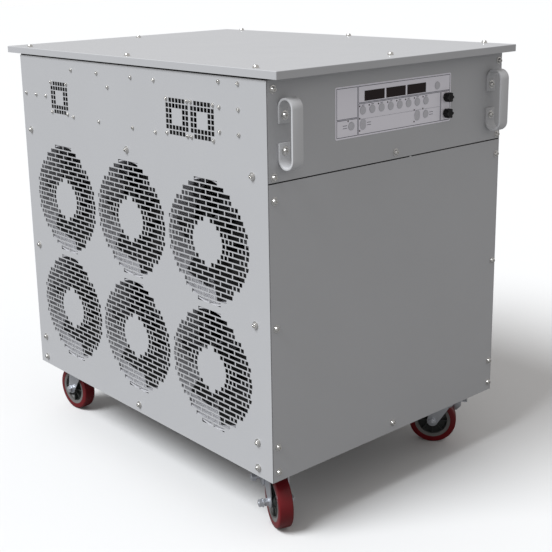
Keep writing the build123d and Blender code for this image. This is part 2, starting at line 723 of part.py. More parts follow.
# -------------------------------------------------------- equipment shelf
with BuildPart() as equipment_shelf:
    shelf_profile = Plane(origin=(INNER_LEFT + POST_LEG + SHEET * 2, 0, SEAM), x_dir=(0, 1, 0), z_dir=(1, 0, 0))
    with BuildSketch(shelf_profile):
        rectangle_between((INNER_FRONT, 0), (INNER_BACK, SHEET))
        rectangle_between((INNER_FRONT, 0), (INNER_FRONT + SHEET, SHELF_FLANGE))
        rectangle_between((INNER_BACK - SHEET, 0), (INNER_BACK, SHELF_FLANGE))
    extrude(amount=BODY_WIDTH - 2 * (POST_LEG + SHEET * 3))
equipment_shelf.part.label = "equipment_shelf"
export_step(equipment_shelf.part, "parts/equipment_shelf.step")

# --------------------------------------------------------- resistor bank
RACK_LOW_Y = POST_FRONT + RACK_MARGIN
RACK_HIGH_Y = BACK - SHEET * 2 - RACK_MARGIN
RACK_X = LEFT + SHEET + RING_DEPTH + MOTOR_LENGTH + RACK_FRONT_GAP
RACK_WIDTH = (ELEMENT_COLUMNS + 1) * ELEMENT_PITCH
RACK_HEIGHT = SEAM - TRAY_FLOOR
element_places = [
    (
        RACK_X + (column + 1) * ELEMENT_PITCH,
        TRAY_FLOOR + (row + 0.5) * RACK_HEIGHT / ELEMENT_ROWS,
    )
    for column in range(ELEMENT_COLUMNS)
    for row in range(ELEMENT_ROWS)
]
with BuildPart() as resistor_bank:
    for plate_y in (RACK_LOW_Y + RACK_PLATE, RACK_HIGH_Y):
        with BuildSketch(Plane(origin=(0, plate_y, 0), x_dir=(1, 0, 0), z_dir=(0, -1, 0))):
            rectangle_between((RACK_X, TRAY_FLOOR), (RACK_X + RACK_WIDTH, SEAM))
        extrude(amount=RACK_PLATE)
    with BuildSketch(Plane(origin=(0, RACK_LOW_Y + RACK_PLATE, 0), x_dir=(1, 0, 0), z_dir=(0, -1, 0))):
        with Locations(element_places):
            Circle(ELEMENT_RADIUS)
    extrude(amount=-(RACK_HIGH_Y - RACK_LOW_Y - 2 * RACK_PLATE))
resistor_bank.part.label = "resistor_bank"
export_step(resistor_bank.part, "parts/resistor_bank.step")

# ----------------------------------------------------------- control board
with BuildPart() as control_board:
    with BuildSketch(FRONT_PLANE.offset(-(SHEET + BOARD_STANDOFF))):
        with Locations((-BOARD_MARGIN * 2, BOTTOM + OVERLAY_CENTRE_HEIGHT)):
            Rectangle(2 * (FUSE_X - FUSE_FLANGE_RADIUS - BOARD_MARGIN), OVERLAY_HEIGHT - BOARD_MARGIN)
    extrude(amount=-BOARD_THICKNESS)
    standoffs = FRONT_PLANE.offset(-SHEET)
    with BuildSketch(standoffs):
        with Locations((-BOARD_MARGIN * 2, BOTTOM + OVERLAY_CENTRE_HEIGHT)):
            with GridLocations(
                2 * (FUSE_X - FUSE_FLANGE_RADIUS - 3 * BOARD_MARGIN), OVERLAY_HEIGHT - 4 * BOARD_MARGIN, 2, 2
            ):
                RegularPolygon(BOARD_MARGIN / 2, 6)
    extrude(amount=-BOARD_STANDOFF)
control_board.part.label = "control_board"
export_step(control_board.part, "parts/control_board.step")

# ------------------------------------------------------------- switchgear
SHELF_TOP = SEAM + SHEET
CONTACTOR_BASE = CONTACTOR_SIZE[2] - CONTACTOR_STEP
with BuildPart() as switchgear:
    for level, rise, cut in ((0, CONTACTOR_BASE, 0), (CONTACTOR_BASE, CONTACTOR_STEP, CONTACTOR_STEP)):
        with BuildSketch(Plane.XY.offset(SHELF_TOP + level)):
            with Locations((0, FRONT + CONTACTOR_SETBACK)):
                with GridLocations(CONTACTOR_PITCH, 1, CONTACTOR_COUNT, 1):
                    Rectangle(CONTACTOR_SIZE[0], CONTACTOR_SIZE[1] - cut)
        extrude(amount=rise)
    with BuildSketch(Plane.XY.offset(SHELF_TOP)):
        with Locations((0, FRONT + TRANSFORMER_SETBACK)):
            Rectangle(TRANSFORMER_SIZE[0], TRANSFORMER_SIZE[1])
    extrude(amount=TRANSFORMER_SIZE[2])
    with BuildSketch(Plane.XY.offset(SHELF_TOP + TRANSFORMER_COIL)):
        with Locations((0, FRONT + TRANSFORMER_SETBACK)):
            Rectangle(
                TRANSFORMER_SIZE[0] - 2 * TRANSFORMER_COIL, TRANSFORMER_SIZE[1] + 2 * TRANSFORMER_COIL
            )
    extrude(amount=TRANSFORMER_SIZE[2] - 2 * TRANSFORMER_COIL)
switchgear.part.label = "switchgear"
export_step(switchgear.part, "parts/switchgear.step")

# ------------------------------------------------------------ panel screws
SCREW_LEVELS = (TOP - SCREW_TOP_INSET, SEAM + SCREW_INSET, SEAM - SCREW_INSET * 2)
LOW_SCREW = BOTTOM + SCREW_TOP_INSET
face_screws = [
    (side * (FACE_RIGHT - SCREW_INSET), level)
    for side in (-1, 1)
    for level in (*SCREW_LEVELS, (SEAM + BOTTOM) / 2, LOW_SCREW)
]
face_screws += [(0, SEAM + SCREW_INSET), (0, LOW_SCREW)]
side_screws = [
    (MIDDLE + side * (BODY_DEPTH / 2 - SCREW_TOP_INSET * 2), level)
    for side in (-1, 1)
    for level in (SEAM + SCREW_INSET, (SEAM + BOTTOM) / 2, LOW_SCREW)
]
with BuildPart() as panel_screws:
    with BuildSketch(FRONT_PLANE, BACK_PLANE):
        with Locations(face_screws):
            RegularPolygon(SCREW_ACROSS_CORNERS / 2, 6)
    extrude(amount=SCREW_HEAD)
    with BuildSketch(RIGHT_PLANE):
        with Locations(side_screws):
            RegularPolygon(SCREW_ACROSS_CORNERS / 2, 6)
    extrude(amount=SCREW_HEAD)
    with BuildSketch(LEFT_PLANE):
        with Locations(side_screws):
            RegularPolygon(SCREW_ACROSS_CORNERS / 2, 6)
    extrude(amount=-SCREW_HEAD)
panel_screws.part.label = "panel_screws"
export_step(panel_screws.part, "parts/panel_screws.step")

# ----------------------------------------------------------- caster mounts
RACEWAY_TOP = CASTER_HEIGHT - CASTER_PLATE_THICKNESS
CROWN_TOP = RACEWAY_TOP - RACEWAY_HEIGHT - SWIVEL_GAP
CROWN_BOTTOM = CROWN_TOP - CROWN_THICKNESS
HUB_LENGTH = WHEEL_WIDTH + 2 * (WHEEL_SIDE_GAP - HUB_SIDE_GAP)
FORK_GAP = WHEEL_WIDTH + 2 * WHEEL_SIDE_GAP
BRAKE_BOLT_HEIGHT = CROWN_BOTTOM - BRAKE_BOLT_DROP
with BuildPart() as caster_mounts:
    pivots = [(frame.origin.X, frame.origin.Y) for frame in caster_frames().values()]
    with BuildSketch(Plane.XY.offset(RACEWAY_TOP)):
        with Locations(pivots):
            RectangleRounded(CASTER_PLATE_WIDTH, CASTER_PLATE_LENGTH, SCREW_HEAD)
    extrude(amount=CASTER_PLATE_THICKNESS)
    with BuildSketch(Plane.XY.offset(RACEWAY_TOP)):
        with Locations(pivots):
            Circle(RACEWAY_RADIUS)
    extrude(amount=-RACEWAY_HEIGHT)
    with BuildSketch(Plane.XY.offset(RACEWAY_TOP)):
        with Locations(pivots):
            Circle(KINGPIN_RADIUS)
    extrude(amount=-(RACEWAY_TOP - CROWN_BOTTOM))
caster_mounts.part.label = "caster_mounts"
export_step(caster_mounts.part, "parts/caster_mounts.step")


def across(frame, offset):
    """Plane normal to a caster's axle at `offset` along it; local x trails."""
    origin = frame.from_local_coords(Vector(offset, 0, 0))
    return Plane(origin=origin, x_dir=frame.y_dir, z_dir=frame.x_dir)


def wheel_profile_plane(frame):
    """Plane of a wheel's half section: local x is the radius, local y the axle."""
    origin = frame.from_local_coords(Vector(0, CASTER_TRAIL, WHEEL_RADIUS))
    return Plane(origin=origin, x_dir=(0, 0, 1), z_dir=frame.y_dir)


for corner, frame in caster_frames().items():
    braked = corner in BRAKED_CASTERS
    bolts = [(CASTER_TRAIL, WHEEL_RADIUS, AXLE_RADIUS)]
    if braked:
        bolts.append((-BRAKE_BOLT_BACK, BRAKE_BOLT_HEIGHT, BRAKE_BOLT_RADIUS))
    with BuildPart() as fork:
        with BuildSketch(Plane(origin=frame.origin, x_dir=frame.x_dir).offset(CROWN_BOTTOM)):
            rectangle_between(
                (-FORK_GAP / 2 - FORK_LEG, -CROWN_BACK), (FORK_GAP / 2 + FORK_LEG, CROWN_FRONT)
            )
            Circle(KINGPIN_RADIUS + SHAFT_CLEARANCE, mode=Mode.SUBTRACT)
        extrude(amount=CROWN_THICKNESS)
        for start in (-FORK_GAP / 2 - FORK_LEG, FORK_GAP / 2):
            with BuildSketch(across(frame, start)):
                with BuildSketch(across(frame, start), mode=Mode.PRIVATE) as leg_shape:
                    rectangle_between((-CROWN_BACK, CROWN_BOTTOM), (CROWN_FRONT, CROWN_TOP))
                    with Locations((CASTER_TRAIL, WHEEL_RADIUS)):
                        Circle(AXLE_BOSS_RADIUS)
                make_hull(leg_shape.sketch_local.edges())
            extrude(amount=FORK_LEG)
        for trail, height, radius in bolts:
            half_grip = FORK_GAP / 2 + FORK_LEG
            with BuildSketch(across(frame, -half_grip)):
                with Locations((trail, height)):
                    Circle(radius)
            extrude(amount=2 * half_grip)
            for start, reach in ((half_grip, BOLT_HEAD), (-half_grip, -BOLT_HEAD)):
                with BuildSketch(across(frame, start)):
                    with Locations((trail, height)):
                        RegularPolygon(BOLT_HEAD_RADIUS, 6)
                extrude(amount=reach)
    fork.part.label = f"caster_{corner}_fork"
    export_step(fork.part, f"parts/{fork.part.label}.step")

    tread_inner = WHEEL_RADIUS - TREAD_DEPTH
    wheel_plane = wheel_profile_plane(frame)
    wheel_axis = Axis(wheel_plane.origin, wheel_plane.y_dir)
    with BuildPart() as tread:
        with BuildSketch(wheel_plane):
            rectangle_between((tread_inner, -WHEEL_WIDTH / 2), (WHEEL_RADIUS, WHEEL_WIDTH / 2))
            for side in (-1, 1):
                with Locations((WHEEL_RADIUS, side * WHEEL_WIDTH / 2)):
                    Rectangle(TREAD_EDGE, TREAD_EDGE, rotation=45, mode=Mode.SUBTRACT)
        revolve(axis=wheel_axis)
    tread.part.label = f"caster_{corner}_tread"
    export_step(tread.part, f"parts/{tread.part.label}.step")

    with BuildPart() as hub:
        with BuildSketch(wheel_plane):
            rectangle_between((tread_inner - RIM_DEPTH, -WHEEL_WIDTH / 2), (tread_inner, WHEEL_WIDTH / 2))
            rectangle_between((HUB_BOSS_RADIUS, -WEB_THICKNESS / 2), (tread_inner, WEB_THICKNESS / 2))
            rectangle_between(
                (AXLE_RADIUS + SHAFT_CLEARANCE, -HUB_LENGTH / 2), (HUB_BOSS_RADIUS, HUB_LENGTH / 2)
            )
        revolve(axis=wheel_axis)
    hub.part.label = f"caster_{corner}_hub"
    export_step(hub.part, f"parts/{hub.part.label}.step")

    if braked:
        pedal_half = FORK_GAP / 2 - BRAKE_SIDE_GAP
        with BuildPart() as brake_pedal:
            with BuildSketch(across(frame, -pedal_half)):
                with Locations((-BRAKE_BOLT_BACK, BRAKE_BOLT_HEIGHT)):
                    Circle(BRAKE_BOLT_RADIUS + BRAKE_BARREL_WALL)
                rectangle_between(
                    (
                        -BRAKE_BOLT_BACK - BRAKE_PEDAL_LENGTH,
                        BRAKE_BOLT_HEIGHT + BRAKE_BOLT_RADIUS + BRAKE_BARREL_WALL - BRAKE_PEDAL_THICKNESS,
                    ),
                    (-BRAKE_BOLT_BACK, BRAKE_BOLT_HEIGHT + BRAKE_BOLT_RADIUS + BRAKE_BARREL_WALL),
                )
                with Locations((-BRAKE_BOLT_BACK, BRAKE_BOLT_HEIGHT)):
                    Circle(BRAKE_BOLT_RADIUS + SHAFT_CLEARANCE, mode=Mode.SUBTRACT)
            extrude(amount=2 * pedal_half)
        brake_pedal.part.label = f"caster_{corner}_brake"
        export_step(brake_pedal.part, f"parts/{brake_pedal.part.label}.step")
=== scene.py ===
import json
import logging
import math
from collections.abc import Iterable, Sequence
from dataclasses import dataclass
from enum import Enum

import bpy
from mathutils import Matrix, Vector


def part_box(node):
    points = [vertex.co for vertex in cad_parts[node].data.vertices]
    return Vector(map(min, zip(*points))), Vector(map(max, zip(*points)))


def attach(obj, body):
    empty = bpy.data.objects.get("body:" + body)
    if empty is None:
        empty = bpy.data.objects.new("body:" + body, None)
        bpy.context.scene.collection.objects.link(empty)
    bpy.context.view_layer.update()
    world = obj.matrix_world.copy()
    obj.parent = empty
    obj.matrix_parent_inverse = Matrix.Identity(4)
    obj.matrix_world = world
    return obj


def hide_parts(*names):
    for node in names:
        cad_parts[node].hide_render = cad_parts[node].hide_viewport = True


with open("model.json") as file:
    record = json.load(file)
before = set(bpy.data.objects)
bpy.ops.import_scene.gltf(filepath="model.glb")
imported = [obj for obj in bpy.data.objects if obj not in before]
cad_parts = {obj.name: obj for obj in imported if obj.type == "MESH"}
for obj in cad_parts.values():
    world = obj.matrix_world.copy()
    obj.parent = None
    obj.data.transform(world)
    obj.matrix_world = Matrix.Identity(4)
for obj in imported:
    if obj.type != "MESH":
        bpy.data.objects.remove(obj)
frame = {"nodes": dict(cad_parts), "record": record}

log = logging.getLogger("load_bank")

Piece = bpy.types.Object
Point = tuple[float, float, float]
Colour = tuple[float, float, float]
Section = Sequence[tuple[float, float]]
Slots = Sequence[tuple[float, float, float]]
Places = list[tuple[Vector, Vector]]
Edges = tuple[float, float, float, float]

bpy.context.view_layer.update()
MM = 0.001
MERGE = 1e-6
SAME_WAY = 0.99
ORIGIN = (0, 0, 0)
UNIT_LOW = (-0.5, -0.5, -0.5)
UNIT_HIGH = (0.5, 0.5, 0.5)
OUT_OF_LEFT = Vector((-1, 0, 0))
OUT_OF_RIGHT = Vector((1, 0, 0))
OUT_OF_FRONT = Vector((0, -1, 0))
OUT_OF_BACK = Vector((0, 1, 0))
UP = Vector((0, 0, 1))


# --- shop tools
def clear_selection() -> None:
    """Leave object mode with nothing selected."""
    if bpy.context.mode != "OBJECT":
        bpy.ops.object.mode_set(mode="OBJECT")
    bpy.ops.object.select_all(action="DESELECT")


def take(piece: Piece) -> Piece:
    """Select one piece alone and make it active.

    Args:
        piece: the object to work on.

    Returns:
        The same object.
    """
    clear_selection()
    piece.select_set(True)
    bpy.context.view_layer.objects.active = piece
    return piece


def settle(piece: Piece) -> Piece:
    """Move a piece's place, turn and scale into its mesh.

    Args:
        piece: the object to settle at the origin.

    Returns:
        The same object.
    """
    take(piece)
    bpy.ops.object.transform_apply(location=True, rotation=True, scale=True)
    return piece


def facing(direction: Vector) -> Matrix:
    """Rotation that turns +Z onto a direction, with local y kept upright.

    Args:
        direction: the unit vector that +Z is to point along.

    Returns:
        A 4x4 rotation matrix.
    """
    return direction.to_track_quat("Z", "Y").to_matrix().to_4x4()


def block(name: str, low: Sequence[float], high: Sequence[float]) -> Piece:
    """Rectangular blank between two corners.

    Args:
        name: name of the new object.
        low: lowest corner in metres.
        high: highest corner in metres.

    Returns:
        The new object, settled at the origin.
    """
    centre = [(a + b) / 2 for a, b in zip(low, high)]
    clear_selection()
    bpy.ops.mesh.primitive_cube_add(size=1, location=centre)
    piece = bpy.context.active_object
    piece.name = name
    piece.scale = [b - a for a, b in zip(low, high)]
    return settle(piece)


def rod(
    name: str, base: Sequence[float], direction: Vector, radius: float, length: float, sides: int = 24
) -> Piece:
    """Round or many-sided blank that stands on a base point.

    Args:
        name: name of the new object.
        base: centre of the foot in metres.
        direction: unit vector along the rod.
        radius: radius over the corners in metres.
        length: length in metres.
        sides: number of sides.

    Returns:
        The new object, settled at the origin.
    """
    clear_selection()
    centre = Vector(base) + direction * (length / 2)
    bpy.ops.mesh.primitive_cylinder_add(vertices=sides, radius=radius, depth=length, location=centre)
    piece = bpy.context.active_object
    piece.name = name
    piece.rotation_euler = facing(direction).to_euler()
    return settle(piece)


def crowned(piece: Piece, normal: Vector, inset: float, move: Point, squeeze: Point | None = None) -> Piece:
    """Inset the faces that look one way, and move what is left of them.

    Args:
        piece: the object to edit.
        normal: the way the faces look.
        inset: distance from the faces' edges in metres.
        move: how far the inset faces move, in metres.
        squeeze: how much they are scaled along each axis before that.

    Returns:
        The same object.
    """
    take(piece)
    bpy.ops.object.mode_set(mode="EDIT")
    bpy.ops.mesh.select_all(action="DESELECT")
    bpy.ops.object.mode_set(mode="OBJECT")
    for face in piece.data.polygons:
        face.select = face.normal.dot(normal) > SAME_WAY
    bpy.ops.object.mode_set(mode="EDIT")
    bpy.ops.mesh.select_mode(type="FACE")
    bpy.ops.mesh.inset(thickness=inset)
    if squeeze:
        bpy.ops.transform.resize(value=squeeze)
    bpy.ops.transform.translate(value=move)
    bpy.ops.object.mode_set(mode="OBJECT")
    return piece


def stretched(piece: Piece, level: float, reach: float) -> Piece:
    """Draw a piece out, up above a level and down below it.

    Args:
        piece: the object to edit.
        level: height of the level in metres.
        reach: how far each half moves, in metres.

    Returns:
        The same object.
    """
    for side in (1, -1):
        take(piece)
        bpy.ops.object.mode_set(mode="EDIT")
        bpy.ops.mesh.select_mode(type="VERT")
        bpy.ops.mesh.select_all(action="DESELECT")
        bpy.ops.object.mode_set(mode="OBJECT")
        for corner in piece.data.vertices:
            corner.select = (corner.co.z - level) * side > 0
        bpy.ops.object.mode_set(mode="EDIT")
        bpy.ops.transform.translate(value=(0, 0, side * reach))
    bpy.ops.object.mode_set(mode="OBJECT")
    return piece


def round_edges(piece: Piece, width: float, segments: int = 2, angle: float = 40.0) -> Piece:
    """Break the sharp edges of a piece.

    Args:
        piece: the object to work on.
        width: width of the rounding in metres.
        segments: number of facets across it.
        angle: edges sharper than this, in degrees, are rounded.

    Returns:
        The same object.
    """
    take(piece)
    bevel = piece.modifiers.new("edge_break", "BEVEL")
    bevel.width = width
    bevel.segments = segments
    bevel.limit_method = "ANGLE"
    bevel.angle_limit = math.radians(angle)
    bpy.ops.object.modifier_apply(modifier=bevel.name)
    return piece


def smooth(piece: Piece, angle: float = 35.0) -> Piece:
    """Shade a piece smooth, apart from its sharp edges.

    Args:
        piece: the object to shade.
        angle: edges sharper than this, in degrees, stay sharp.

    Returns:
        The same object.
    """
    take(piece)
    bpy.ops.object.shade_smooth_by_angle(angle=math.radians(angle))
    return piece


def joined(name: str, parts: Sequence[Piece]) -> Piece:
    """One object made of several.

    Args:
        name: name of the result.
        parts: the objects to join.

    Returns:
        The joined object.
    """
    clear_selection()
    for part in parts:
        part.select_set(True)
    bpy.context.view_layer.objects.active = parts[0]
    if len(parts) > 1:
        bpy.ops.object.join()
    whole = bpy.context.active_object
    whole.name = name
    return whole


def copied(model: Piece, name: str, places: Iterable[Matrix]) -> Piece:
    """Copies of a model at several places, as one piece; the model is used up.

    Args:
        model: the object to copy, modelled round the origin.
        name: name of the result.
        places: where each copy stands.

    Returns:
        The joined copies, settled at the origin.
    """
    copies = []
    for place in places:
        mesh = model.data.copy()
        mesh.transform(place)
        copy = bpy.data.objects.new(name, mesh)
        bpy.context.collection.objects.link(copy)
        copies.append(copy)
    bpy.data.objects.remove(model)
    return joined(name, copies)


def seal() -> None:
    """Merge the doubles of the piece in edit mode, turn its faces outward, and leave edit mode."""
    bpy.ops.mesh.select_all(action="SELECT")
    bpy.ops.mesh.remove_doubles(threshold=MERGE)
    bpy.ops.mesh.normals_make_consistent(inside=False)
    bpy.ops.object.mode_set(mode="OBJECT")


def turned(name: str, section: Section, place: Matrix, steps: int = 64, ring: bool = True) -> Piece:
    """Round piece drawn up from a circle, corner by corner of its half section.

    Args:
        name: name of the new object.
        section: (radius, height) of each corner of the half section, in metres.
        place: matrix that puts the local z axis on the piece's axis.
        steps: facets round the piece.
        ring: whether the section closes on itself round a bore; a solid piece is capped at both ends.

    Returns:
        The new object, settled at the origin.
    """
    radius, height = section[0]
    clear_selection()
    fill = "NOTHING" if ring else "NGON"
    bpy.ops.mesh.primitive_circle_add(vertices=steps, radius=radius, location=(0, 0, height), fill_type=fill)
    piece = bpy.context.active_object
    piece.name = name
    settle(piece)
    bpy.ops.object.mode_set(mode="EDIT")
    bpy.ops.mesh.select_mode(type="EDGE")
    bpy.ops.mesh.select_all(action="SELECT")
    corners = [*section[1:], section[0]] if ring else section[1:]
    for next_radius, next_height in corners:
        bpy.ops.mesh.extrude_region_move(TRANSFORM_OT_translate={"value": (0, 0, next_height - height)})
        share = next_radius / radius
        bpy.ops.transform.resize(value=(share, share, 1))
        radius = next_radius
        height = next_height
    seal()
    piece.data.transform(place)
    return piece


def mirrored(half: Section) -> Section:
    """Whole section of a wheel's piece, from the half below the wheel's middle.

    Args:
        half: (radius, height) of each corner below the middle.

    Returns:
        The same corners, then their mirror images in turn.
    """
    return [*half, *[(radius, -height) for radius, height in reversed(half)]]


def cut_out(piece: Piece, cutter: Piece) -> Piece:
    """Take the shape of a cutter out of a piece; the cutter is used up.

    Args:
        piece: the object to cut.
        cutter: the closed shape to take away.

    Returns:
        The cut object.
    """
    take(piece)
    saw = piece.modifiers.new("cut", "BOOLEAN")
    saw.operation = "DIFFERENCE"
    saw.solver = "EXACT"
    saw.object = cutter
    bpy.ops.object.modifier_apply(modifier=saw.name)
    bpy.data.objects.remove(cutter)
    return piece


def middle_of(node: str) -> Vector:
    """Centre of a CAD node's box.

    Args:
        node: name of the node.

    Returns:
        The centre in metres.
    """
    low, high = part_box(node)
    return (Vector(low) + Vector(high)) / 2


def joint_named(name: str) -> tuple[Vector, Vector]:
    """Place and axis of one joint of the record.

    Args:
        name: name of the joint.

    Returns:
        The point that it turns about, in metres, and its axis.
    """
    for joint in frame["record"]["behaviour"]["joints"]:
        if joint["name"] == name:
            return Vector(joint["pos_m"]), Vector(joint["axis"])
    raise KeyError(name)


# --- finishes
class Slot(Enum):
    """Material slots of the record."""

    PAINT = "painted_grey"
    ZINC = "zinc_steel"
    BRIGHT = "bright_steel"
    TREAD = "tread_red"
    HUB = "hub_grey"
    BLACK = "black_plastic"
    OVERLAY = "overlay_grey"
    BUTTON = "button_grey"
    DISPLAY = "display_red"


DUST_COLOUR = (0.52, 0.50, 0.47, 1.0)
SPECK_SHADE = 0.45
SHEEN_SPREAD = 0.08
RELIEF_DEPTH = 0.4 * MM


def add_node(
    tree: bpy.types.NodeTree, kind: str, values: dict | None = None, **settings: object
) -> bpy.types.Node:
    """Add a node to a tree.

    Args:
        tree: the node tree.
        kind: type of the node.
        values: values of its inputs, by name or number.
        **settings: the node's own settings, which are made first.

    Returns:
        The new node.
    """
    node = tree.nodes.new(kind)
    for name, value in settings.items():
        setattr(node, name, value)
    for name, value in (values or {}).items():
        node.inputs[name].default_value = value
    return node


def surface_grain() -> bpy.types.NodeTree:
    """Shared node group: fine grain, broad clouding, dust that settles on tops, and small specks.

    Returns:
        The group, made at the first call.
    """
    known = bpy.data.node_groups.get("surface_grain")
    if known:
        return known
    tree = bpy.data.node_groups.new("surface_grain", "ShaderNodeTree")
    join = tree.links.new
    scales = (("Fine Scale", 900.0), ("Broad Scale", 5.0), ("Speck Scale", 240.0))
    for label, value in scales:
        socket = tree.interface.new_socket(label, in_out="INPUT", socket_type="NodeSocketFloat")
        socket.default_value = value
    results = ("Grain", "Cloud", "Dust", "Specks")
    for label in results:
        tree.interface.new_socket(label, in_out="OUTPUT", socket_type="NodeSocketFloat")
    entry = add_node(tree, "NodeGroupInput")
    leave = add_node(tree, "NodeGroupOutput")
    place = add_node(tree, "ShaderNodeTexCoord")
    fine = add_node(tree, "ShaderNodeTexNoise", {"Detail": 2.0})
    broad = add_node(tree, "ShaderNodeTexNoise", {"Detail": 5.0, "Roughness": 0.6})
    speck = add_node(tree, "ShaderNodeTexVoronoi")
    for texture, (label, _) in zip((fine, broad, speck), scales):
        join(place.outputs["Object"], texture.inputs["Vector"])
        join(entry.outputs[label], texture.inputs["Scale"])
    spots = add_node(tree, "ShaderNodeMapRange", {"From Min": 0.34, "From Max": 0.22})
    join(speck.outputs["Distance"], spots.inputs["Value"])
    shape = add_node(tree, "ShaderNodeNewGeometry")
    split = add_node(tree, "ShaderNodeSeparateXYZ")
    join(shape.outputs["Normal"], split.inputs["Vector"])
    tops = add_node(tree, "ShaderNodeMapRange", {"From Min": 0.5, "From Max": 1.0})
    join(split.outputs["Z"], tops.inputs["Value"])
    dust = add_node(tree, "ShaderNodeMath", operation="MULTIPLY")
    join(tops.outputs["Result"], dust.inputs[0])
    join(broad.outputs["Fac"], dust.inputs[1])
    sources = (fine.outputs["Fac"], broad.outputs["Fac"], dust.outputs["Value"], spots.outputs["Result"])
    for source, label in zip(sources, results):
        join(source, leave.inputs[label])
    return tree


def laid_over(
    tree: bpy.types.NodeTree,
    mask: bpy.types.NodeSocket,
    weight: float,
    colour: Sequence[float],
    below: bpy.types.NodeSocket,
) -> bpy.types.NodeSocket:
    """Lay a colour over another where a mask shows it.

    Args:
        tree: the material's node tree.
        mask: where the colour lies.
        weight: how much of it covers what is below.
        colour: the colour to lay on.
        below: the colour so far.

    Returns:
        The two colours mixed.
    """
    share = add_node(tree, "ShaderNodeMath", {1: weight}, operation="MULTIPLY")
    tree.links.new(mask, share.inputs[0])
    mix = add_node(tree, "ShaderNodeMix", {}, data_type="RGBA")
    mix.inputs["B"].default_value = colour
    tree.links.new(share.outputs["Value"], mix.inputs["Factor"])
    tree.links.new(below, mix.inputs["A"])
    return mix.outputs["Result"]


@dataclass(frozen=True)
class Finish:
    """One surface finish, built as a node material.

    Attributes:
        name: material name.
        colour: base colour, linear RGB.
        roughness: middle roughness.
        tone: how much the broad clouding darkens the colour.
        bump: strength of the fine grain.
        fine: scale of the fine grain.
        broad: scale of the clouding.
        metallic: 1 for bare metal.
        dust: weight of the pale dust on tops.
        specks: weight of darker specks.
        speck_scale: scale of the specks.
        gloss: strength of the plain reflection.
    """

    name: str
    colour: Colour
    roughness: float = 0.45
    tone: float = 0.08
    bump: float = 0.12
    fine: float = 900.0
    broad: float = 5.0
    metallic: float = 0.0
    dust: float = 0.0
    specks: float = 0.0
    speck_scale: float = 240.0
    gloss: float = 0.5

    def build(self) -> bpy.types.Material:
        """Make the material, or return it when it is there already.

        Returns:
            The material.
        """
        known = bpy.data.materials.get(self.name)
        if known:
            return known
        material = bpy.data.materials.new(self.name)
        material.use_nodes = True
        tree = material.node_tree
        join = tree.links.new
        shader = tree.nodes["Principled BSDF"]
        scales = {"Fine Scale": self.fine, "Broad Scale": self.broad, "Speck Scale": self.speck_scale}
        grain = add_node(tree, "ShaderNodeGroup", scales, node_tree=surface_grain())
        ends = {"A": (*self.colour, 1.0), "B": (*[part * (1 - self.tone) for part in self.colour], 1.0)}
        shade = add_node(tree, "ShaderNodeMix", ends, data_type="RGBA")
        join(grain.outputs["Cloud"], shade.inputs["Factor"])
        colour_out = shade.outputs["Result"]
        if self.dust:
            colour_out = laid_over(tree, grain.outputs["Dust"], self.dust, DUST_COLOUR, colour_out)
        if self.specks:
            dark = (*[part * SPECK_SHADE for part in self.colour], 1.0)
            colour_out = laid_over(tree, grain.outputs["Specks"], self.specks, dark, colour_out)
        join(colour_out, shader.inputs["Base Color"])
        limits = {
            "To Min": max(self.roughness - SHEEN_SPREAD, 0.02),
            "To Max": min(self.roughness + SHEEN_SPREAD, 1.0),
        }
        sheen = add_node(tree, "ShaderNodeMapRange", limits)
        join(grain.outputs["Cloud"], sheen.inputs["Value"])
        join(sheen.outputs["Result"], shader.inputs["Roughness"])
        relief = add_node(tree, "ShaderNodeBump", {"Strength": self.bump, "Distance": RELIEF_DEPTH})
        join(grain.outputs["Grain"], relief.inputs["Height"])
        join(relief.outputs["Normal"], shader.inputs["Normal"])
        shader.inputs["Metallic"].default_value = self.metallic
        shader.inputs["Specular IOR Level"].default_value = self.gloss
        return material


PAINT = Finish("cabinet_powder_coat", (0.50, 0.505, 0.52), roughness=0.40, tone=0.06, bump=0.10, dust=0.06)
# Handle paint is the cabinet's powder coat painted lighter: painted light for the handles catching more
# light than the panels.
LIT_HANDLE_PAINT = Finish("handle_powder_coat_painted_light", (0.60, 0.605, 0.62), roughness=0.36, tone=0.05, bump=0.10)
INNER_DARK = Finish(
    "inside_shadow_black", (0.012, 0.012, 0.013), roughness=0.75, tone=0.3, bump=0.05, gloss=0.2
)
GALVANISED = Finish(
    "galvanised_sheet", (0.50, 0.51, 0.53), roughness=0.42, tone=0.25, broad=38.0, metallic=0.6
)
DUCT_GREY = Finish("duct_ring_grey", (0.62, 0.62, 0.65), roughness=0.45, tone=0.10)
ZINC = Finish("zinc_plate", (0.62, 0.64, 0.68), roughness=0.34, tone=0.16, broad=26.0, metallic=0.75)
BRIGHT = Finish(
    "bright_plated_screw", (0.78, 0.77, 0.75), roughness=0.22, tone=0.12, broad=60.0, metallic=1.0
)
TREAD = Finish("polyurethane_red", (0.175, 0.006, 0.010), roughness=0.36, tone=0.35, broad=22.0, gloss=0.35)
RIM = Finish("rim_ring_grey", (0.18, 0.175, 0.17), roughness=0.5, tone=0.15, broad=30.0)
HUB = Finish("hub_core_black", (0.042, 0.045, 0.042), roughness=0.45, tone=0.35, broad=30.0)
BLACK = Finish("moulded_black", (0.008, 0.008, 0.008), roughness=0.42, tone=0.2, bump=0.2, gloss=0.25)
OVERLAY = Finish("overlay_film", (0.92, 0.90, 0.97), roughness=0.38, tone=0.03, bump=0.05, fine=1600.0)
BUTTON = Finish(
    "button_film", (0.62, 0.615, 0.66), roughness=0.42, tone=0.05, bump=0.05, specks=0.45, speck_scale=620.0
)
PRINT = Finish("overlay_print_dark", (0.10, 0.10, 0.14), roughness=0.45, tone=0.05, gloss=0.3)
LED_DARK = Finish("led_lens_dark", (0.03, 0.015, 0.02), roughness=0.3, tone=0.1, gloss=0.3)
WINDOW = Finish(
    "display_window_smoked", (0.018, 0.009, 0.009), roughness=0.22, tone=0.25, broad=30.0, gloss=0.22
)
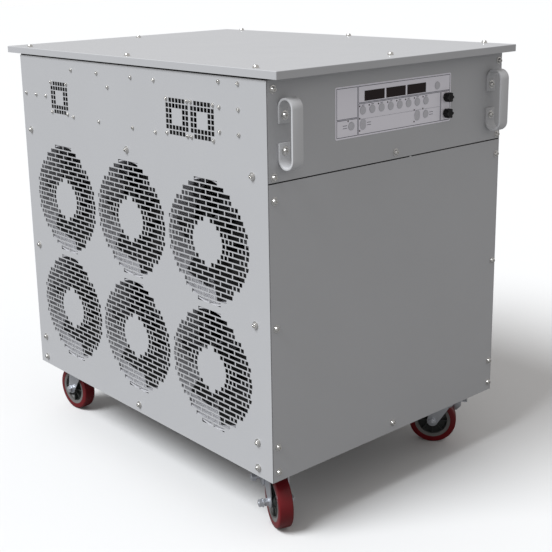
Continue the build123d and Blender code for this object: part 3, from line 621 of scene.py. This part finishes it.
RESISTOR = Finish(
    "heat_tinted_steel", (0.10, 0.09, 0.085), roughness=0.5, tone=0.4, broad=20.0, metallic=0.9
)
BOARD = Finish("solder_mask_green", (0.01, 0.07, 0.03), roughness=0.35)


def dress(node: str, finish: Finish) -> None:
    """Put a finish on a CAD node.

    Args:
        node: name of the node.
        finish: the finish for all of its slots.
    """
    piece = frame["nodes"][node]
    material = finish.build()
    if not piece.material_slots:
        piece.data.materials.append(material)
    for slot in piece.material_slots:
        slot.material = material


def hang(piece: Piece, body: str, finish: Finish, replaces: Sequence[str] = ()) -> None:
    """Finish a new piece and make it ride on a body.

    Args:
        piece: the new object.
        body: the CAD body that it moves with.
        finish: its material.
        replaces: CAD nodes that it stands for.
    """
    piece.data.materials.clear()
    piece.data.materials.append(finish.build())
    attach(piece, body)
    if replaces:
        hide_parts(*replaces)
    log.info("%s rides on %s with %d faces", piece.name, body, len(piece.data.polygons))


# --- the fan side
@dataclass(frozen=True)
class GuardRow:
    """Slots of one row of a round guard, on each side of its middle.

    Attributes:
        start: where the first slot begins, in millimetres; 0 lies on a web.
        inner_squares: small slots before the bricks.
        bricks: long slots.
        outer_squares: small slots after the bricks.
        centre_brick: whether a long slot straddles the middle.
    """

    start: float
    inner_squares: int
    bricks: int
    outer_squares: int
    centre_brick: bool = False


@dataclass
class FanSide:
    """The perforated sheet of the fan side, with its six round and three square guards."""

    row_pitch: float = 12.7 * MM
    slot_height: float = 10.0 * MM
    web: float = 2.9 * MM
    brick: float = 40.1 * MM
    square: float = 10.1 * MM
    small_cells: int = 7
    small_pitch: float = 12.3 * MM
    small_square: float = 9.9 * MM
    sheet: float = 1.2 * MM
    rows: tuple[GuardRow, ...] = (
        GuardRow(52.0, 1, 1, 3),
        GuardRow(50.0, 3, 1, 1),
        GuardRow(45.0, 2, 1, 2),
        GuardRow(32.0, 1, 2, 1),
        GuardRow(10.0, 1, 2, 2),
        GuardRow(0.0, 0, 3, 0),
        GuardRow(0.0, 0, 2, 1, centre_brick=True),
        GuardRow(0.0, 0, 2, 2),
        GuardRow(0.0, 0, 1, 2, centre_brick=True),
        GuardRow(0.0, 0, 2, 0),
        GuardRow(0.0, 0, 1, 0, centre_brick=True),
        GuardRow(0.0, 0, 1, 0),
    )

    def row_slots(self, row: GuardRow) -> list[tuple[float, float]]:
        """Slots of one half row.

        Args:
            row: the row's layout.

        Returns:
            (middle, length) of each slot, in metres from the guard's middle.
        """
        slots = []
        reach = row.start * MM + self.web / 2
        if row.centre_brick:
            reach = self.brick / 2 + self.web
        lengths = [self.square] * row.inner_squares
        lengths += [self.brick] * row.bricks
        lengths += [self.square] * row.outer_squares
        for length in lengths:
            slots.append((reach + length / 2, length))
            reach += length + self.web
        return slots

    def guard_slots(self) -> Slots:
        """All slots of one round guard.

        Returns:
            (along, up, length) of each slot, in metres from the guard's middle.
        """
        slots = []
        for index, row in enumerate(self.rows):
            levels = (0.0,) if index == 0 else (index * self.row_pitch, -index * self.row_pitch)
            for level in levels:
                if row.centre_brick:
                    slots.append((0.0, level, self.brick))
                for middle, length in self.row_slots(row):
                    slots.append((middle, level, length))
                    slots.append((-middle, level, length))
        return slots

    def small_guard_slots(self) -> Slots:
        """Square slots of one compartment fan guard: a ring with blank corners and middle.

        Returns:
            (along, up, length) of each slot, in metres from the guard's middle.
        """
        middle = (self.small_cells - 1) / 2
        slots = []
        for row in range(self.small_cells):
            for column in range(self.small_cells):
                across = column - middle
                up = row - middle
                corner = abs(across) == middle and abs(up) == middle
                blank = abs(across) <= 1 and abs(up) <= 1
                if not corner and not blank:
                    slots.append((across * self.small_pitch, up * self.small_pitch, self.small_square))
        return slots

    def build(self) -> None:
        """Punch the sheet and put it in place of the CAD panel."""
        low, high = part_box("fan_side_panel")
        sheet = block("fan_side_sheet", low, (low[0] + self.sheet, high[1], high[2]))
        punch = block("punch", UNIT_LOW, UNIT_HIGH)
        guards = [(self.guard_slots(), f"fan_rotor_{number}") for number in range(1, 7)]
        guards += [(self.small_guard_slots(), f"small_rotor_{number}") for number in range(1, 4)]
        places = []
        for slots, rotor in guards:
            places += self.punch_places(slots, middle_of(rotor), low[0])
        sheet = cut_out(sheet, copied(punch, "punches", places))
        hang(sheet, "cabinet", PAINT, replaces=["fan_side_panel"])

    def punch_places(self, slots: Slots, fan: Vector, face: float) -> list[Matrix]:
        """Where the punch goes for each slot of one guard; it reaches through the sheet and past it.

        Args:
            slots: the guard's slots.
            fan: a point on the fan's axis.
            face: x of the sheet's outer face.

        Returns:
            One matrix for each slot.
        """
        places = []
        for along, up, length in slots:
            centre = Matrix.Translation((face + self.sheet / 2, fan.y + along, fan.z + up))
            size = Matrix.Diagonal((self.sheet * 3, length, self.slot_height, 1.0))
            places.append(centre @ size)
        return places


# --- fasteners
@dataclass
class Screw:
    """A pan screw with a round recess on its washer, modelled pointing along +Z."""

    washer_radius: float = 9.0 * MM
    washer: float = 1.4 * MM
    head_radius: float = 6.4 * MM
    head: float = 5.2 * MM
    recess_radius: float = 2.6 * MM
    sides: int = 16

    def model(self, name: str) -> Piece:
        """Turned screw head on its washer.

        Args:
            name: name of the model.

        Returns:
            The model, standing on the origin.
        """
        crown = self.head + self.washer
        profile = [
            (self.washer_radius, 0.0),
            (self.washer_radius, self.washer * 0.8),
            (self.head_radius * 1.08, self.washer),
            (self.head_radius, self.washer + self.head * 0.55),
            (self.head_radius * 0.72, crown),
            (self.recess_radius, crown),
            (self.recess_radius * 0.9, crown - self.head * 0.5),
        ]
        return smooth(turned(name, profile, Matrix.Identity(4), self.sides, ring=False))

    def drive(self, name: str, places: Places, node: str | None = None) -> None:
        """Put screws at places on the cabinet.

        Args:
            name: name of the piece.
            places: (foot, outward direction) of each screw.
            node: CAD node that the screws stand for, if any.
        """
        matrices = [Matrix.Translation(foot) @ facing(out) for foot, out in places]
        piece = copied(self.model(name), name, matrices)
        hang(piece, "cabinet", BRIGHT, replaces=[node] if node else [])


@dataclass
class Fasteners:
    """All screws on the outside of the cabinet but those of the handles.

    Columns are shares of a side's length, from the control face or the fan side. Levels are shares of the
    body's height, from its lower edge.
    """

    side_levels: tuple[float, ...] = (0.772, 0.403, 0.093, 0.024)
    side_columns: tuple[float, ...] = (0.047, 0.966)
    side_middle: float = 0.507
    side_middle_levels: tuple[float, ...] = (0.772, 0.024)
    end_levels: tuple[float, ...] = (0.978, 0.773, 0.717, 0.403, 0.093, 0.025)
    end_columns: tuple[float, ...] = (0.023, 0.985)
    end_middle: float = 0.503
    end_middle_levels: tuple[float, ...] = (0.777, 0.026)
    shelf_columns: tuple[float, ...] = (0.741, 0.622, 0.476, 0.384)
    shelf_levels: tuple[float, ...] = (0.971, 0.836)
    lone_column: float = 0.576
    lone_level: float = 0.936
    front_columns: tuple[float, ...] = (0.150, 0.087)
    front_levels: tuple[float, ...] = (0.986, 0.925, 0.865)
    rear_columns: tuple[float, ...] = (0.978, 0.925, 0.875)
    rear_level: float = 0.885
    fan_screw: float = 39 * MM
    lid_inset: float = 18 * MM
    lid_inset_front: float = 82 * MM
    lid_inset_back: float = 96 * MM
    lid_step: float = 28 * MM

    def rows(self, out: Vector, columns: Sequence[float], levels: Sequence[float]) -> Places:
        """Places of the screws on one side of the cabinet, level by level.

        Args:
            out: the way that the side looks.
            columns: where the screws of each level are.
            levels: the levels.

        Returns:
            (foot, outward direction) of each screw.
        """
        low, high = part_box("fan_side_panel")
        places = []
        for level in levels:
            z = low[2] + (high[2] - low[2]) * level
            for column in columns:
                if out.x:
                    x = -low[0] * out.x
                    y = low[1] + (high[1] - low[1]) * column
                else:
                    x = low[0] - 2 * low[0] * column
                    y = high[1] if out.y > 0 else low[1]
                places.append((Vector((x, y, z)), out))
        return places

    def build(self) -> None:
        """Make the panel screws, the small screws and the lid screws."""
        places = []
        for out in (OUT_OF_LEFT, OUT_OF_RIGHT):
            places += self.rows(out, self.side_columns, self.side_levels)
            places += self.rows(out, (self.side_middle,), self.side_middle_levels)
        for out in (OUT_OF_FRONT, OUT_OF_BACK):
            places += self.rows(out, self.end_columns, self.end_levels)
            places += self.rows(out, (self.end_middle,), self.end_middle_levels)
        Screw().drive("panel_screw_set", places, node="panel_screws")
        self.build_small()
        self.build_lid()

    def build_small(self) -> None:
        """Make the small screws of the control compartment and the fan mounts."""
        places = self.rows(OUT_OF_LEFT, self.shelf_columns, self.shelf_levels)
        places += self.rows(OUT_OF_LEFT, (self.lone_column,), (self.lone_level,))
        for column in self.front_columns:
            places += self.rows(OUT_OF_LEFT, (column,), self.front_levels)
        places += self.rows(OUT_OF_LEFT, self.rear_columns, (self.rear_level,))
        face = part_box("fan_side_panel")[0][0]
        for number in range(1, 4):
            fan = middle_of(f"small_rotor_{number}")
            for along in (-self.fan_screw, self.fan_screw):
                for up in (-self.fan_screw, self.fan_screw):
                    places.append((Vector((face, fan.y + along, fan.z + up)), OUT_OF_LEFT))
        small = Screw(5.2 * MM, 0.8 * MM, 4.2 * MM, 3.0 * MM, 1.7 * MM, sides=12)
        small.drive("small_screw_set", places)

    def build_lid(self) -> None:
        """Make the eight screws on top of the lid."""
        low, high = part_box("top_cover")
        across = high[0] - self.lid_inset
        front = low[1] + self.lid_inset_front
        back = high[1] - self.lid_inset_back
        middle = (front + back) / 2
        spots = [(x, y) for x in (-across, across) for y in (front, middle, back)]
        spots += [(0.0, front - self.lid_step), (0.0, back + self.lid_step)]
        places = [(Vector((x, y, high[2])), UP) for x, y in spots]
        Screw(washer_radius=7.0 * MM).drive("lid_screw_set", places)


@dataclass
class LiftHandles:
    """Flat bars bent into a loop with fully round ends, and the screws on their feet."""

    bar: float = 5.0 * MM
    width: float = 30.0 * MM
    foot: float = 55.0 * MM
    edge: float = 0.9 * MM
    screw_drop: float = 38.0 * MM
    bend_steps: int = 14

    def build(self) -> None:
        """Bend both handles and drive their screws."""
        low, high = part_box("lift_handles")
        centres = (low[0] + self.width / 2, high[0] - self.width / 2)
        bars = [self.bend(f"handle_bar_{index}", x, low, high) for index, x in enumerate(centres)]
        pair = round_edges(joined("handle_bars", bars), self.edge, angle=50)
        # The handles get the lighter copy of the cabinet paint: painted light where they catch more light.
        hang(smooth(pair, 32), "cabinet", LIT_HANDLE_PAINT, replaces=["lift_handles"])
        face = high[1] - self.bar
        places = []
        for x in centres:
            for z in (high[2] - self.screw_drop, low[2] + self.screw_drop):
                places.append((Vector((x, face, z)), OUT_OF_FRONT))
        Screw(washer_radius=10.0 * MM).drive("handle_screw_set", places)

    def bend(self, name: str, x: float, low: Sequence[float], high: Sequence[float]) -> Piece:
        """Bend one bar.

        Args:
            name: name of the bar.
            x: middle of the bar's width.
            low: lowest corner of the handles.
            high: highest corner of the handles.

        Returns:
            The bent bar.
        """
        radius = (high[1] - low[1]) / 2
        centre_y = (high[1] + low[1]) / 2
        bend_top = high[2] - radius
        bend_low = low[2] + radius
        foot_end = high[2] - self.foot
        clear_selection()
        bpy.ops.mesh.primitive_plane_add(size=1, location=(x, high[1] - self.bar / 2, foot_end))
        piece = bpy.context.active_object
        piece.name = name
        piece.scale = (self.width, self.bar, 1)
        settle(piece)
        bpy.ops.object.mode_set(mode="EDIT")
        bpy.ops.mesh.select_all(action="SELECT")
        self.run_straight(bend_top - foot_end)
        self.run_bend((x, centre_y, bend_top))
        self.run_straight(bend_low - bend_top)
        self.run_bend((x, centre_y, bend_low))
        self.run_straight(low[2] + self.foot - bend_low)
        seal()
        return piece

    def run_straight(self, rise: float) -> None:
        """Draw the open end of the bar straight up or down.

        Args:
            rise: the length in metres, below 0 for down.
        """
        bpy.ops.mesh.extrude_region_move(TRANSFORM_OT_translate={"value": (0, 0, rise)})

    def run_bend(self, centre: Point) -> None:
        """Draw the open end of the bar half round a point.

        Args:
            centre: the point in metres.
        """
        bpy.ops.mesh.spin(steps=self.bend_steps, angle=-math.pi, center=centre, axis=(1, 0, 0))


# --- control face
@dataclass
class ControlOverlay:
    """Printing, lamps, tall keys and knobs of the control overlay.

    Sizes are in metres. The outlines and the long rule count from the overlay's middle, and legends, short
    rules and lamps from the middle of their key. The knob's last four values are shares of its own size.
    """

    line: float = 0.0013
    ink: float = 0.00012
    inset: float = 0.004
    gap: float = 0.0012
    name_width: float = 0.064
    name_divide: float = -0.015
    column_gap: float = 0.003
    main_divide: float = 0.016
    fuse_width: float = 0.032
    rule: tuple[float, float] = (-0.0192, -0.0188)
    legend: tuple[float, float, float, float] = (-0.0040, 0.0108, 0.0045, 0.0120)
    side_legends: tuple[tuple[str, float], ...] = (
        ("button_mode", -0.020),
        ("button_fan", 0.019),
        ("button_master", 0.019),
    )
    short_rule: tuple[float, float] = (0.0065, 0.0006)
    rule_drop: float = 0.0028
    lamp: float = 0.0032
    lamp_depth: float = 0.0006
    lamp_shift: float = 0.0105
    step_lamp: float = 0.0098
    lamps: tuple[tuple[str, float], ...] = (
        ("button_fan", 0.0135),
        ("button_fan", -0.0135),
        ("button_load", 0.0135),
        ("button_load", -0.0135),
        ("button_master", 0.0135),
        ("button_mode", 0.0118),
    )
    key_stretch: float = 0.0032
    knob_radius: float = 0.0115
    lobes: int = 6
    flute: float = 0.33
    flute_ring: float = 1.08
    crown_inset: float = 0.12
    crown_dish: float = 0.05

    def ink_bar(self, edges: Edges) -> Piece:
        """One printed bar, a film of ink that stands just proud of the overlay.

        Args:
            edges: left, lower, right and upper edge, from the overlay's middle.

        Returns:
            The bar.
        """
        left, bottom, right, top = edges
        middle = middle_of("control_overlay")
        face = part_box("control_overlay")[0][1]
        low = (middle.x + left, face - self.ink, middle.z + bottom)
        return block("ink", low, (middle.x + right, face, middle.z + top))

    def ink_box(self, edges: Edges) -> list[Piece]:
        """Printed outline of one group.

        Args:
            edges: left, lower, right and upper edge, from the overlay's middle.

        Returns:
            The four printed lines.
        """
        left, bottom, right, top = edges
        half = self.line / 2
        bars = (
            (left - half, bottom - half, right + half, bottom + half),
            (left - half, top - half, right + half, top + half),
            (left - half, bottom + half, left + half, top - half),
            (right - half, bottom + half, right + half, top - half),
        )
        return [self.ink_bar(bar) for bar in bars]

    def build(self) -> None:
        """Print the overlay, and fit the lamps, the tall keys and the knobs."""
        low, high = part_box("control_overlay")
        edge = (high[0] - low[0]) / 2 - self.inset
        top = (high[2] - low[2]) / 2 - self.inset
        name_right = -edge + self.name_width
        group_left = name_right + self.column_gap
        fuse_left = edge - self.fuse_width
        group_right = fuse_left - self.gap
        group_top = self.main_divide - self.gap
        outlines = (
            (-edge, self.name_divide + self.gap, name_right, top),
            (-edge, -top, name_right, self.name_divide - self.gap),
            (group_left, self.main_divide + self.gap, edge, top),
            (group_left, -top, group_right, group_top),
            (fuse_left + self.gap, -top, edge, group_top),
        )
        parts = [bar for outline in outlines for bar in self.ink_box(outline)]
        parts.append(self.ink_bar((group_left, self.rule[0], group_right, self.rule[1])))
        parts += self.legends()
        hang(joined("overlay_printing", parts), "cabinet", PRINT)
        self.build_lamps()
        self.build_tall_keys()
        self.build_knobs()

    def legends(self) -> list[Piece]:
        """Short plain rules where the keys have their legends.

        Returns:
            The printed rules.
        """
        middle = middle_of("control_overlay")
        left, bottom, right, top = self.legend
        half_width, half_height = self.short_rule
        bars = []
        for number in range(1, 9):
            key = middle_of(f"button_step_{number}") - middle
            bars.append(self.ink_bar((key.x + left, key.z + bottom, key.x + right, key.z + top)))
        for node, shift in self.side_legends:
            key = middle_of(node) - middle
            x = key.x + shift
            for z in (key.z + self.rule_drop, key.z - self.rule_drop):
                edges = (x - half_width, z - half_height, x + half_width, z + half_height)
                bars.append(self.ink_bar(edges))
        return bars

    def build_lamps(self) -> None:
        """Small square lamps beside the keys."""
        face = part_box("control_overlay")[0][1]
        size = Matrix.Diagonal((self.lamp, self.lamp_depth, self.lamp, 1.0))
        places = []
        steps = [(f"button_step_{number}", self.step_lamp) for number in range(1, 9)]
        for node, rise in (*steps, *self.lamps):
            key = middle_of(node)
            spot = (key.x - self.lamp_shift, face - self.lamp_depth / 2, key.z + rise)
            places.append(Matrix.Translation(spot) @ size)
        lens = round_edges(block("lamp", UNIT_LOW, UNIT_HIGH), 0.18)
        hang(copied(lens, "button_lamps", places), "cabinet", LED_DARK)

    def build_tall_keys(self) -> None:
        """The two tall rounded keys of the lower row."""
        for node in ("button_fan", "button_load"):
            low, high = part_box(node)
            middle = middle_of(node)
            radius = (high[0] - low[0]) / 2
            foot = (middle.x, high[1], middle.z)
            key = rod(f"{node}_tall", foot, OUT_OF_FRONT, radius, high[1] - low[1], 36)
            key = smooth(stretched(key, middle.z, self.key_stretch), 40)
            hang(key, f"{node}_key", BUTTON, replaces=[node])

    def build_knobs(self) -> None:
        """Six-lobed knobs on the fuse holders."""
        radius = self.knob_radius
        for number in (1, 2):
            node = f"fuse_cap_{number}"
            low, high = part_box(node)
            middle = middle_of(node)
            depth = high[1] - low[1]
            foot = (middle.x, high[1], middle.z)
            knob = rod(f"fuse_knob_{number}", foot, OUT_OF_FRONT, radius, depth, 48)
            flute = rod("flute", ORIGIN, OUT_OF_FRONT, radius * self.flute, depth * 1.4, 16)
            places = []
            for index in range(self.lobes):
                turn = math.tau * (index + 0.5) / self.lobes
                x = middle.x + math.cos(turn) * radius * self.flute_ring
                z = middle.z + math.sin(turn) * radius * self.flute_ring
                places.append(Matrix.Translation((x, high[1] + depth * 0.2, z)))
            knob = cut_out(knob, copied(flute, "flutes", places))
            crowned(knob, OUT_OF_FRONT, radius * self.crown_inset, (0, depth * self.crown_dish, 0))
            hang(smooth(knob, 30), f"{node}_knob", BLACK, replaces=[node])


# --- casters
class Corner(Enum):
    """The four casters."""

    FRONT_LEFT = "front_left"
    FRONT_RIGHT = "front_right"
    REAR_LEFT = "rear_left"
    REAR_RIGHT = "rear_right"


@dataclass
class CasterWheel:
    """Moulded tread, rim ring and ribbed core of one caster wheel."""

    corner: Corner
    half_width: float = 17 * MM
    tread: float = 15 * MM
    crown: float = 1.2 * MM
    shoulder: float = 4.5 * MM
    rim_step: float = 1.5 * MM
    ring: float = 8.5 * MM
    bore: float = 5.3 * MM
    boss: float = 11 * MM
    boss_foot: float = 13 * MM
    boss_proud: float = 1.6 * MM
    web_start: float = 15 * MM
    web_slope: float = 4 * MM
    rib_half: float = 1.3 * MM
    ribs: int = 8

    def build(self) -> None:
        """Turn the tread, the rim ring and the core, and put them in place of the CAD wheel."""
        name = self.corner.value
        body = f"wheel_{name}"
        centre, axis = joint_named(f"wheel_{name}_roll")
        place = Matrix.Translation(centre) @ facing(axis)
        radius = centre.z
        half = self.half_width
        lift = self.shoulder
        outer = radius - self.tread
        inner = outer - self.ring
        tread_section = [
            (outer, -half),
            (radius - lift, -half),
            (radius - lift * 0.55, -half + lift * 0.12),
            (radius - lift * 0.2, -half + lift * 0.45),
            (radius - self.crown * 0.35, -half + lift),
            (radius, -half * 0.35),
        ]
        tread = turned(f"{name}_tread", mirrored(tread_section), place, 72)
        hang(smooth(tread, 30), body, TREAD, replaces=[f"caster_{name}_tread"])
        ring_section = [(inner, -half + self.rim_step), (outer, -half + self.rim_step * 0.4)]
        rim = turned(f"{name}_rim_ring", mirrored(ring_section), place, 64)
        hang(smooth(rim, 30), body, RIM)
        core_section = [
            (self.bore, -half - self.boss_proud),
            (self.boss, -half - self.boss_proud),
            (self.boss_foot, -half),
            (self.web_start, -half * 0.45),
            (inner - self.web_slope, -half * 0.32),
            (inner, -half * 0.6),
        ]
        core = turned(f"{name}_core", mirrored(core_section), Matrix.Identity(4), 48)
        low = (self.boss_foot, -self.rib_half, -half * 0.85)
        rib = block("rib", low, (inner, self.rib_half, half * 0.85))
        turns = [Matrix.Rotation(math.tau * index / self.ribs, 4, "Z") for index in range(self.ribs)]
        ribs = copied(rib, "ribs", turns)
        whole = joined(f"{name}_core", [core, ribs])
        whole.data.transform(place)
        hang(smooth(whole, 30), body, HUB, replaces=[f"caster_{name}_hub"])


@dataclass
class CasterHardware:
    """Nuts on the fork bolts, brackets and sleeves of the brakes, and the plate bolts."""

    grip: float = 24.0 * MM
    washer_radius: float = 10.5 * MM
    washer: float = 1.6 * MM
    nut_radius: float = 10.0 * MM
    nut: float = 8.0 * MM
    stud_radius: float = 5.0 * MM
    stud: float = 2.5 * MM
    bolt_across: float = 70 * MM
    bolt_along: float = 88 * MM
    bolt_radius: float = 7.5 * MM
    bolt_head: float = 5 * MM
    mount_plate: float = 4 * MM
    bracket: float = 3.0 * MM
    bracket_drop: float = 12 * MM
    bracket_bolt: tuple[float, float] = (-0.034, 0.096)
    bracket_reach: tuple[tuple[float, float], tuple[float, float]] = ((-0.044, 0.090), (-0.004, 0.126))
    sleeve_radius: float = 6.5 * MM
    sleeve: float = 13.0 * MM

    def nut_model(self) -> Piece:
        """Hex nut with its chamfer on a washer, a stud end standing out, along +Z.

        Returns:
            The model, standing on the origin.
        """
        washer = rod("washer", ORIGIN, UP, self.washer_radius, self.washer, 28)
        nut = rod("nut", (0, 0, self.washer), UP, self.nut_radius, self.nut, 6)
        crowned(nut, UP, self.nut_radius * 0.16, (0, 0, self.nut * 0.12))
        stud = rod("stud", (0, 0, self.washer + self.nut), UP, self.stud_radius, self.stud, 20)
        round_edges(stud, 0.8 * MM)
        return joined("bolt_nut", [washer, nut, stud])

    def build(self) -> None:
        """Fit the fork nuts and brake brackets of each caster, and the plate bolts."""
        for corner in Corner:
            braked = corner in (Corner.FRONT_LEFT, Corner.FRONT_RIGHT)
            names = [f"wheel_{corner.value}_roll"]
            if braked:
                names.append(f"brake_{corner.value}_press")
            places = []
            for name in names:
                centre, axis = joint_named(name)
                axis.normalize()
                for way in (axis, -axis):
                    places.append(Matrix.Translation(centre + way * self.grip) @ facing(way))
            if braked:
                places += self.build_bracket(corner)
            nuts = copied(self.nut_model(), f"{corner.value}_fork_nuts", places)
            hang(smooth(nuts, 30), f"swivel_{corner.value}", ZINC)
        self.build_plate_bolts()

    def fork_frame(self, corner: Corner) -> tuple[Matrix, tuple[float, float]]:
        """Frame of a fork on the floor under its pivot, and where the axle lies in it.

        Args:
            corner: the caster.

        Returns:
            A matrix with local x along the axle and local y towards the wheel, then the axle's distance
            behind the pivot and its height over the floor, in metres.
        """
        pivot, _ = joint_named(f"swivel_{corner.value}_turn")
        wheel, _ = joint_named(f"wheel_{corner.value}_roll")
        trail = Vector((wheel.x - pivot.x, wheel.y - pivot.y, 0)).normalized()
        basis = Matrix((trail.cross(UP), trail, UP)).transposed().to_4x4()
        axle = (math.hypot(wheel.x - pivot.x, wheel.y - pivot.y), wheel.z)
        return Matrix.Translation((pivot.x, pivot.y, 0)) @ basis, axle

    def build_bracket(self, corner: Corner) -> list[Matrix]:
        """Fit the brake's bracket and sleeves on the outside of the fork leg.

        Args:
            corner: the caster.

        Returns:
            Where the nuts on the sleeves stand.
        """
        fork, axle = self.fork_frame(corner)
        name = f"{corner.value}_brake_bracket"
        low, high = self.bracket_reach
        plate = block(name, (self.grip, *low), (self.grip + self.bracket, *high))
        crowned(plate, -UP, 1 * MM, (0, 0, -self.bracket_drop), squeeze=(1, 0.45, 1))
        round_edges(plate, 0.6 * MM)
        sleeves = []
        nuts = []
        start = self.grip + self.bracket * 0.5
        for spot in (self.bracket_bolt, axle):
            sleeves.append(rod("sleeve", (start, *spot), OUT_OF_RIGHT, self.sleeve_radius, self.sleeve))
            nuts.append(fork @ Matrix.Translation((start + self.sleeve, *spot)) @ facing(OUT_OF_RIGHT))
        whole = joined(name, [plate, *sleeves])
        whole.data.transform(fork)
        hang(smooth(whole, 40), f"swivel_{corner.value}", ZINC)
        return nuts

    def build_plate_bolts(self) -> None:
        """Fit four bolts under each caster plate."""
        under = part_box("caster_mounts")[1][2] - self.mount_plate
        places = []
        for corner in Corner:
            pivot, _ = joint_named(f"swivel_{corner.value}_turn")
            for across in (-0.5, 0.5):
                for along in (-0.5, 0.5):
                    spot = (pivot.x + across * self.bolt_across, pivot.y + along * self.bolt_along, under)
                    places.append(Matrix.Translation(spot) @ facing(-UP))
        bolt = rod("plate_bolts", ORIGIN, UP, self.bolt_radius, self.bolt_head, 6)
        crowned(bolt, UP, 1.6 * MM, (0, 0, 1.2 * MM))
        hang(copied(bolt, "plate_bolts", places), "cabinet", ZINC)


# --- the studio
@dataclass
class Studio:
    """Floor, lamp, world and camera; angles in degrees, the focal length as a share of the sensor."""

    azimuth: float = -39.542
    elevation: float = 14.042
    roll: float = -1.437
    location: Point = (-1.7677, -2.0903, 1.2749)
    focal_share: float = 1.888224638
    shift: tuple[float, float] = (0.068, -0.0986)
    sensor: float = 36.0
    sky: float = 0.50
    sky_tint: Colour = (1.0, 0.98, 0.965)
    sun: float = 3.3
    sun_tint: Colour = (0.95, 0.975, 1.0)
    sun_spread: float = 28.0
    sun_from: Point = (-0.62, 0.10, 0.78)
    floor_size: float = 60.0
    floor_drop: float = 0.5 * MM
    floor_seen: float = 0.79
    floor_bounce: float = 0.25

    def build(self) -> None:
        """Set up the floor, the light and the camera."""
        self.build_floor()
        self.build_light()
        self.build_camera()
        bpy.context.scene.view_settings.view_transform = "Standard"

    def build_floor(self) -> None:
        """Pale floor under the casters, paler for the camera than for the light that it sends back."""
        clear_selection()
        bpy.ops.mesh.primitive_plane_add(size=self.floor_size, location=(0, 0, -self.floor_drop))
        floor = bpy.context.active_object
        floor.name = "studio_floor"
        settle(floor)
        material = bpy.data.materials.new("studio_floor_white")
        material.use_nodes = True
        tree = material.node_tree
        shader = tree.nodes["Principled BSDF"]
        shader.inputs["Roughness"].default_value = 0.95
        shader.inputs["Specular IOR Level"].default_value = 0.1
        path = add_node(tree, "ShaderNodeLightPath")
        tones = {"A": (*[self.floor_bounce] * 3, 1.0), "B": (*[self.floor_seen] * 3, 1.0)}
        tint = add_node(tree, "ShaderNodeMix", tones, data_type="RGBA")
        tree.links.new(path.outputs["Is Camera Ray"], tint.inputs["Factor"])
        tree.links.new(tint.outputs["Result"], shader.inputs["Base Color"])
        floor.data.materials.append(material)

    def build_light(self) -> None:
        """Slightly warm light from all round, white to the camera, and a broad lamp from the fan side."""
        world = bpy.data.worlds.new("studio_world")
        bpy.context.scene.world = world
        world.use_nodes = True
        tree = world.node_tree
        tree.nodes.clear()
        out = add_node(tree, "ShaderNodeOutputWorld")
        lit = add_node(tree, "ShaderNodeBackground", {"Color": (*self.sky_tint, 1.0), "Strength": self.sky})
        seen = add_node(tree, "ShaderNodeBackground", {"Color": (1.0, 1.0, 1.0, 1.0), "Strength": 1.0})
        path = add_node(tree, "ShaderNodeLightPath")
        mix = add_node(tree, "ShaderNodeMixShader")
        tree.links.new(path.outputs["Is Camera Ray"], mix.inputs["Fac"])
        tree.links.new(lit.outputs["Background"], mix.inputs[1])
        tree.links.new(seen.outputs["Background"], mix.inputs[2])
        tree.links.new(mix.outputs["Shader"], out.inputs["Surface"])
        lamp = bpy.data.lights.new("broad_lamp", "SUN")
        lamp.energy = self.sun
        lamp.color = self.sun_tint
        lamp.angle = math.radians(self.sun_spread)
        holder = bpy.data.objects.new("broad_lamp", lamp)
        bpy.context.collection.objects.link(holder)
        holder.rotation_euler = Vector(self.sun_from).normalized().to_track_quat("Z", "Y").to_euler()

    def build_camera(self) -> None:
        """Camera at the product's three-quarter view."""
        data = bpy.data.cameras.new("studio_camera")
        camera = bpy.data.objects.new("studio_camera", data)
        bpy.context.collection.objects.link(camera)
        turn = math.radians(self.azimuth)
        rise = math.radians(self.elevation)
        back = Vector((math.sin(turn) * math.cos(rise), -math.cos(turn) * math.cos(rise), math.sin(rise)))
        right = (-back).cross(UP).normalized()
        above = right.cross(-back)
        lean = math.radians(self.roll)
        side = right * math.cos(lean) + above * math.sin(lean)
        top = above * math.cos(lean) - right * math.sin(lean)
        basis = Matrix((side, top, back)).transposed().to_4x4()
        camera.matrix_world = Matrix.Translation(self.location) @ basis
        data.sensor_width = self.sensor
        data.lens = self.focal_share * self.sensor
        data.shift_x, data.shift_y = self.shift
        data.clip_end = 100.0
        bpy.context.scene.camera = camera


# --- whole part
NODE_FINISHES: dict[str, Finish] = {
    "top_cover": PAINT,
    "exhaust_side_panel": PAINT,
    "control_panel": PAINT,
    "lower_front_panel": PAINT,
    "rear_panel": PAINT,
    "base_tray": GALVANISED,
    "corner_posts": INNER_DARK,
    "top_rails": INNER_DARK,
    "equipment_shelf": INNER_DARK,
    "fan_frames": DUCT_GREY,
    "small_fan_frames": BLACK,
    "resistor_bank": RESISTOR,
    "switchgear": BLACK,
    "control_board": BOARD,
    "control_overlay": OVERLAY,
    "display_windows": WINDOW,
    "fuse_sleeves": BLACK,
    "caster_mounts": ZINC,
    "rear_connections": BRIGHT,
}


def dress_nodes() -> None:
    """Put a finish on every CAD node that stays in view."""
    for node in frame["nodes"]:
        if node in NODE_FINISHES:
            dress(node, NODE_FINISHES[node])
        elif node.startswith("button_"):
            dress(node, BUTTON)
        elif node.startswith(("fan_rotor", "small_rotor")):
            dress(node, BLACK)
        elif node.startswith("caster_"):
            dress(node, ZINC)


def main() -> None:
    """Build the studio, dress the CAD nodes and add the detailed pieces."""
    Studio().build()
    dress_nodes()
    FanSide().build()
    Fasteners().build()
    LiftHandles().build()
    ControlOverlay().build()
    for corner in Corner:
        CasterWheel(corner).build()
    CasterHardware().build()


if __name__ == "__main__":
    logging.basicConfig(level=logging.INFO)
    main()
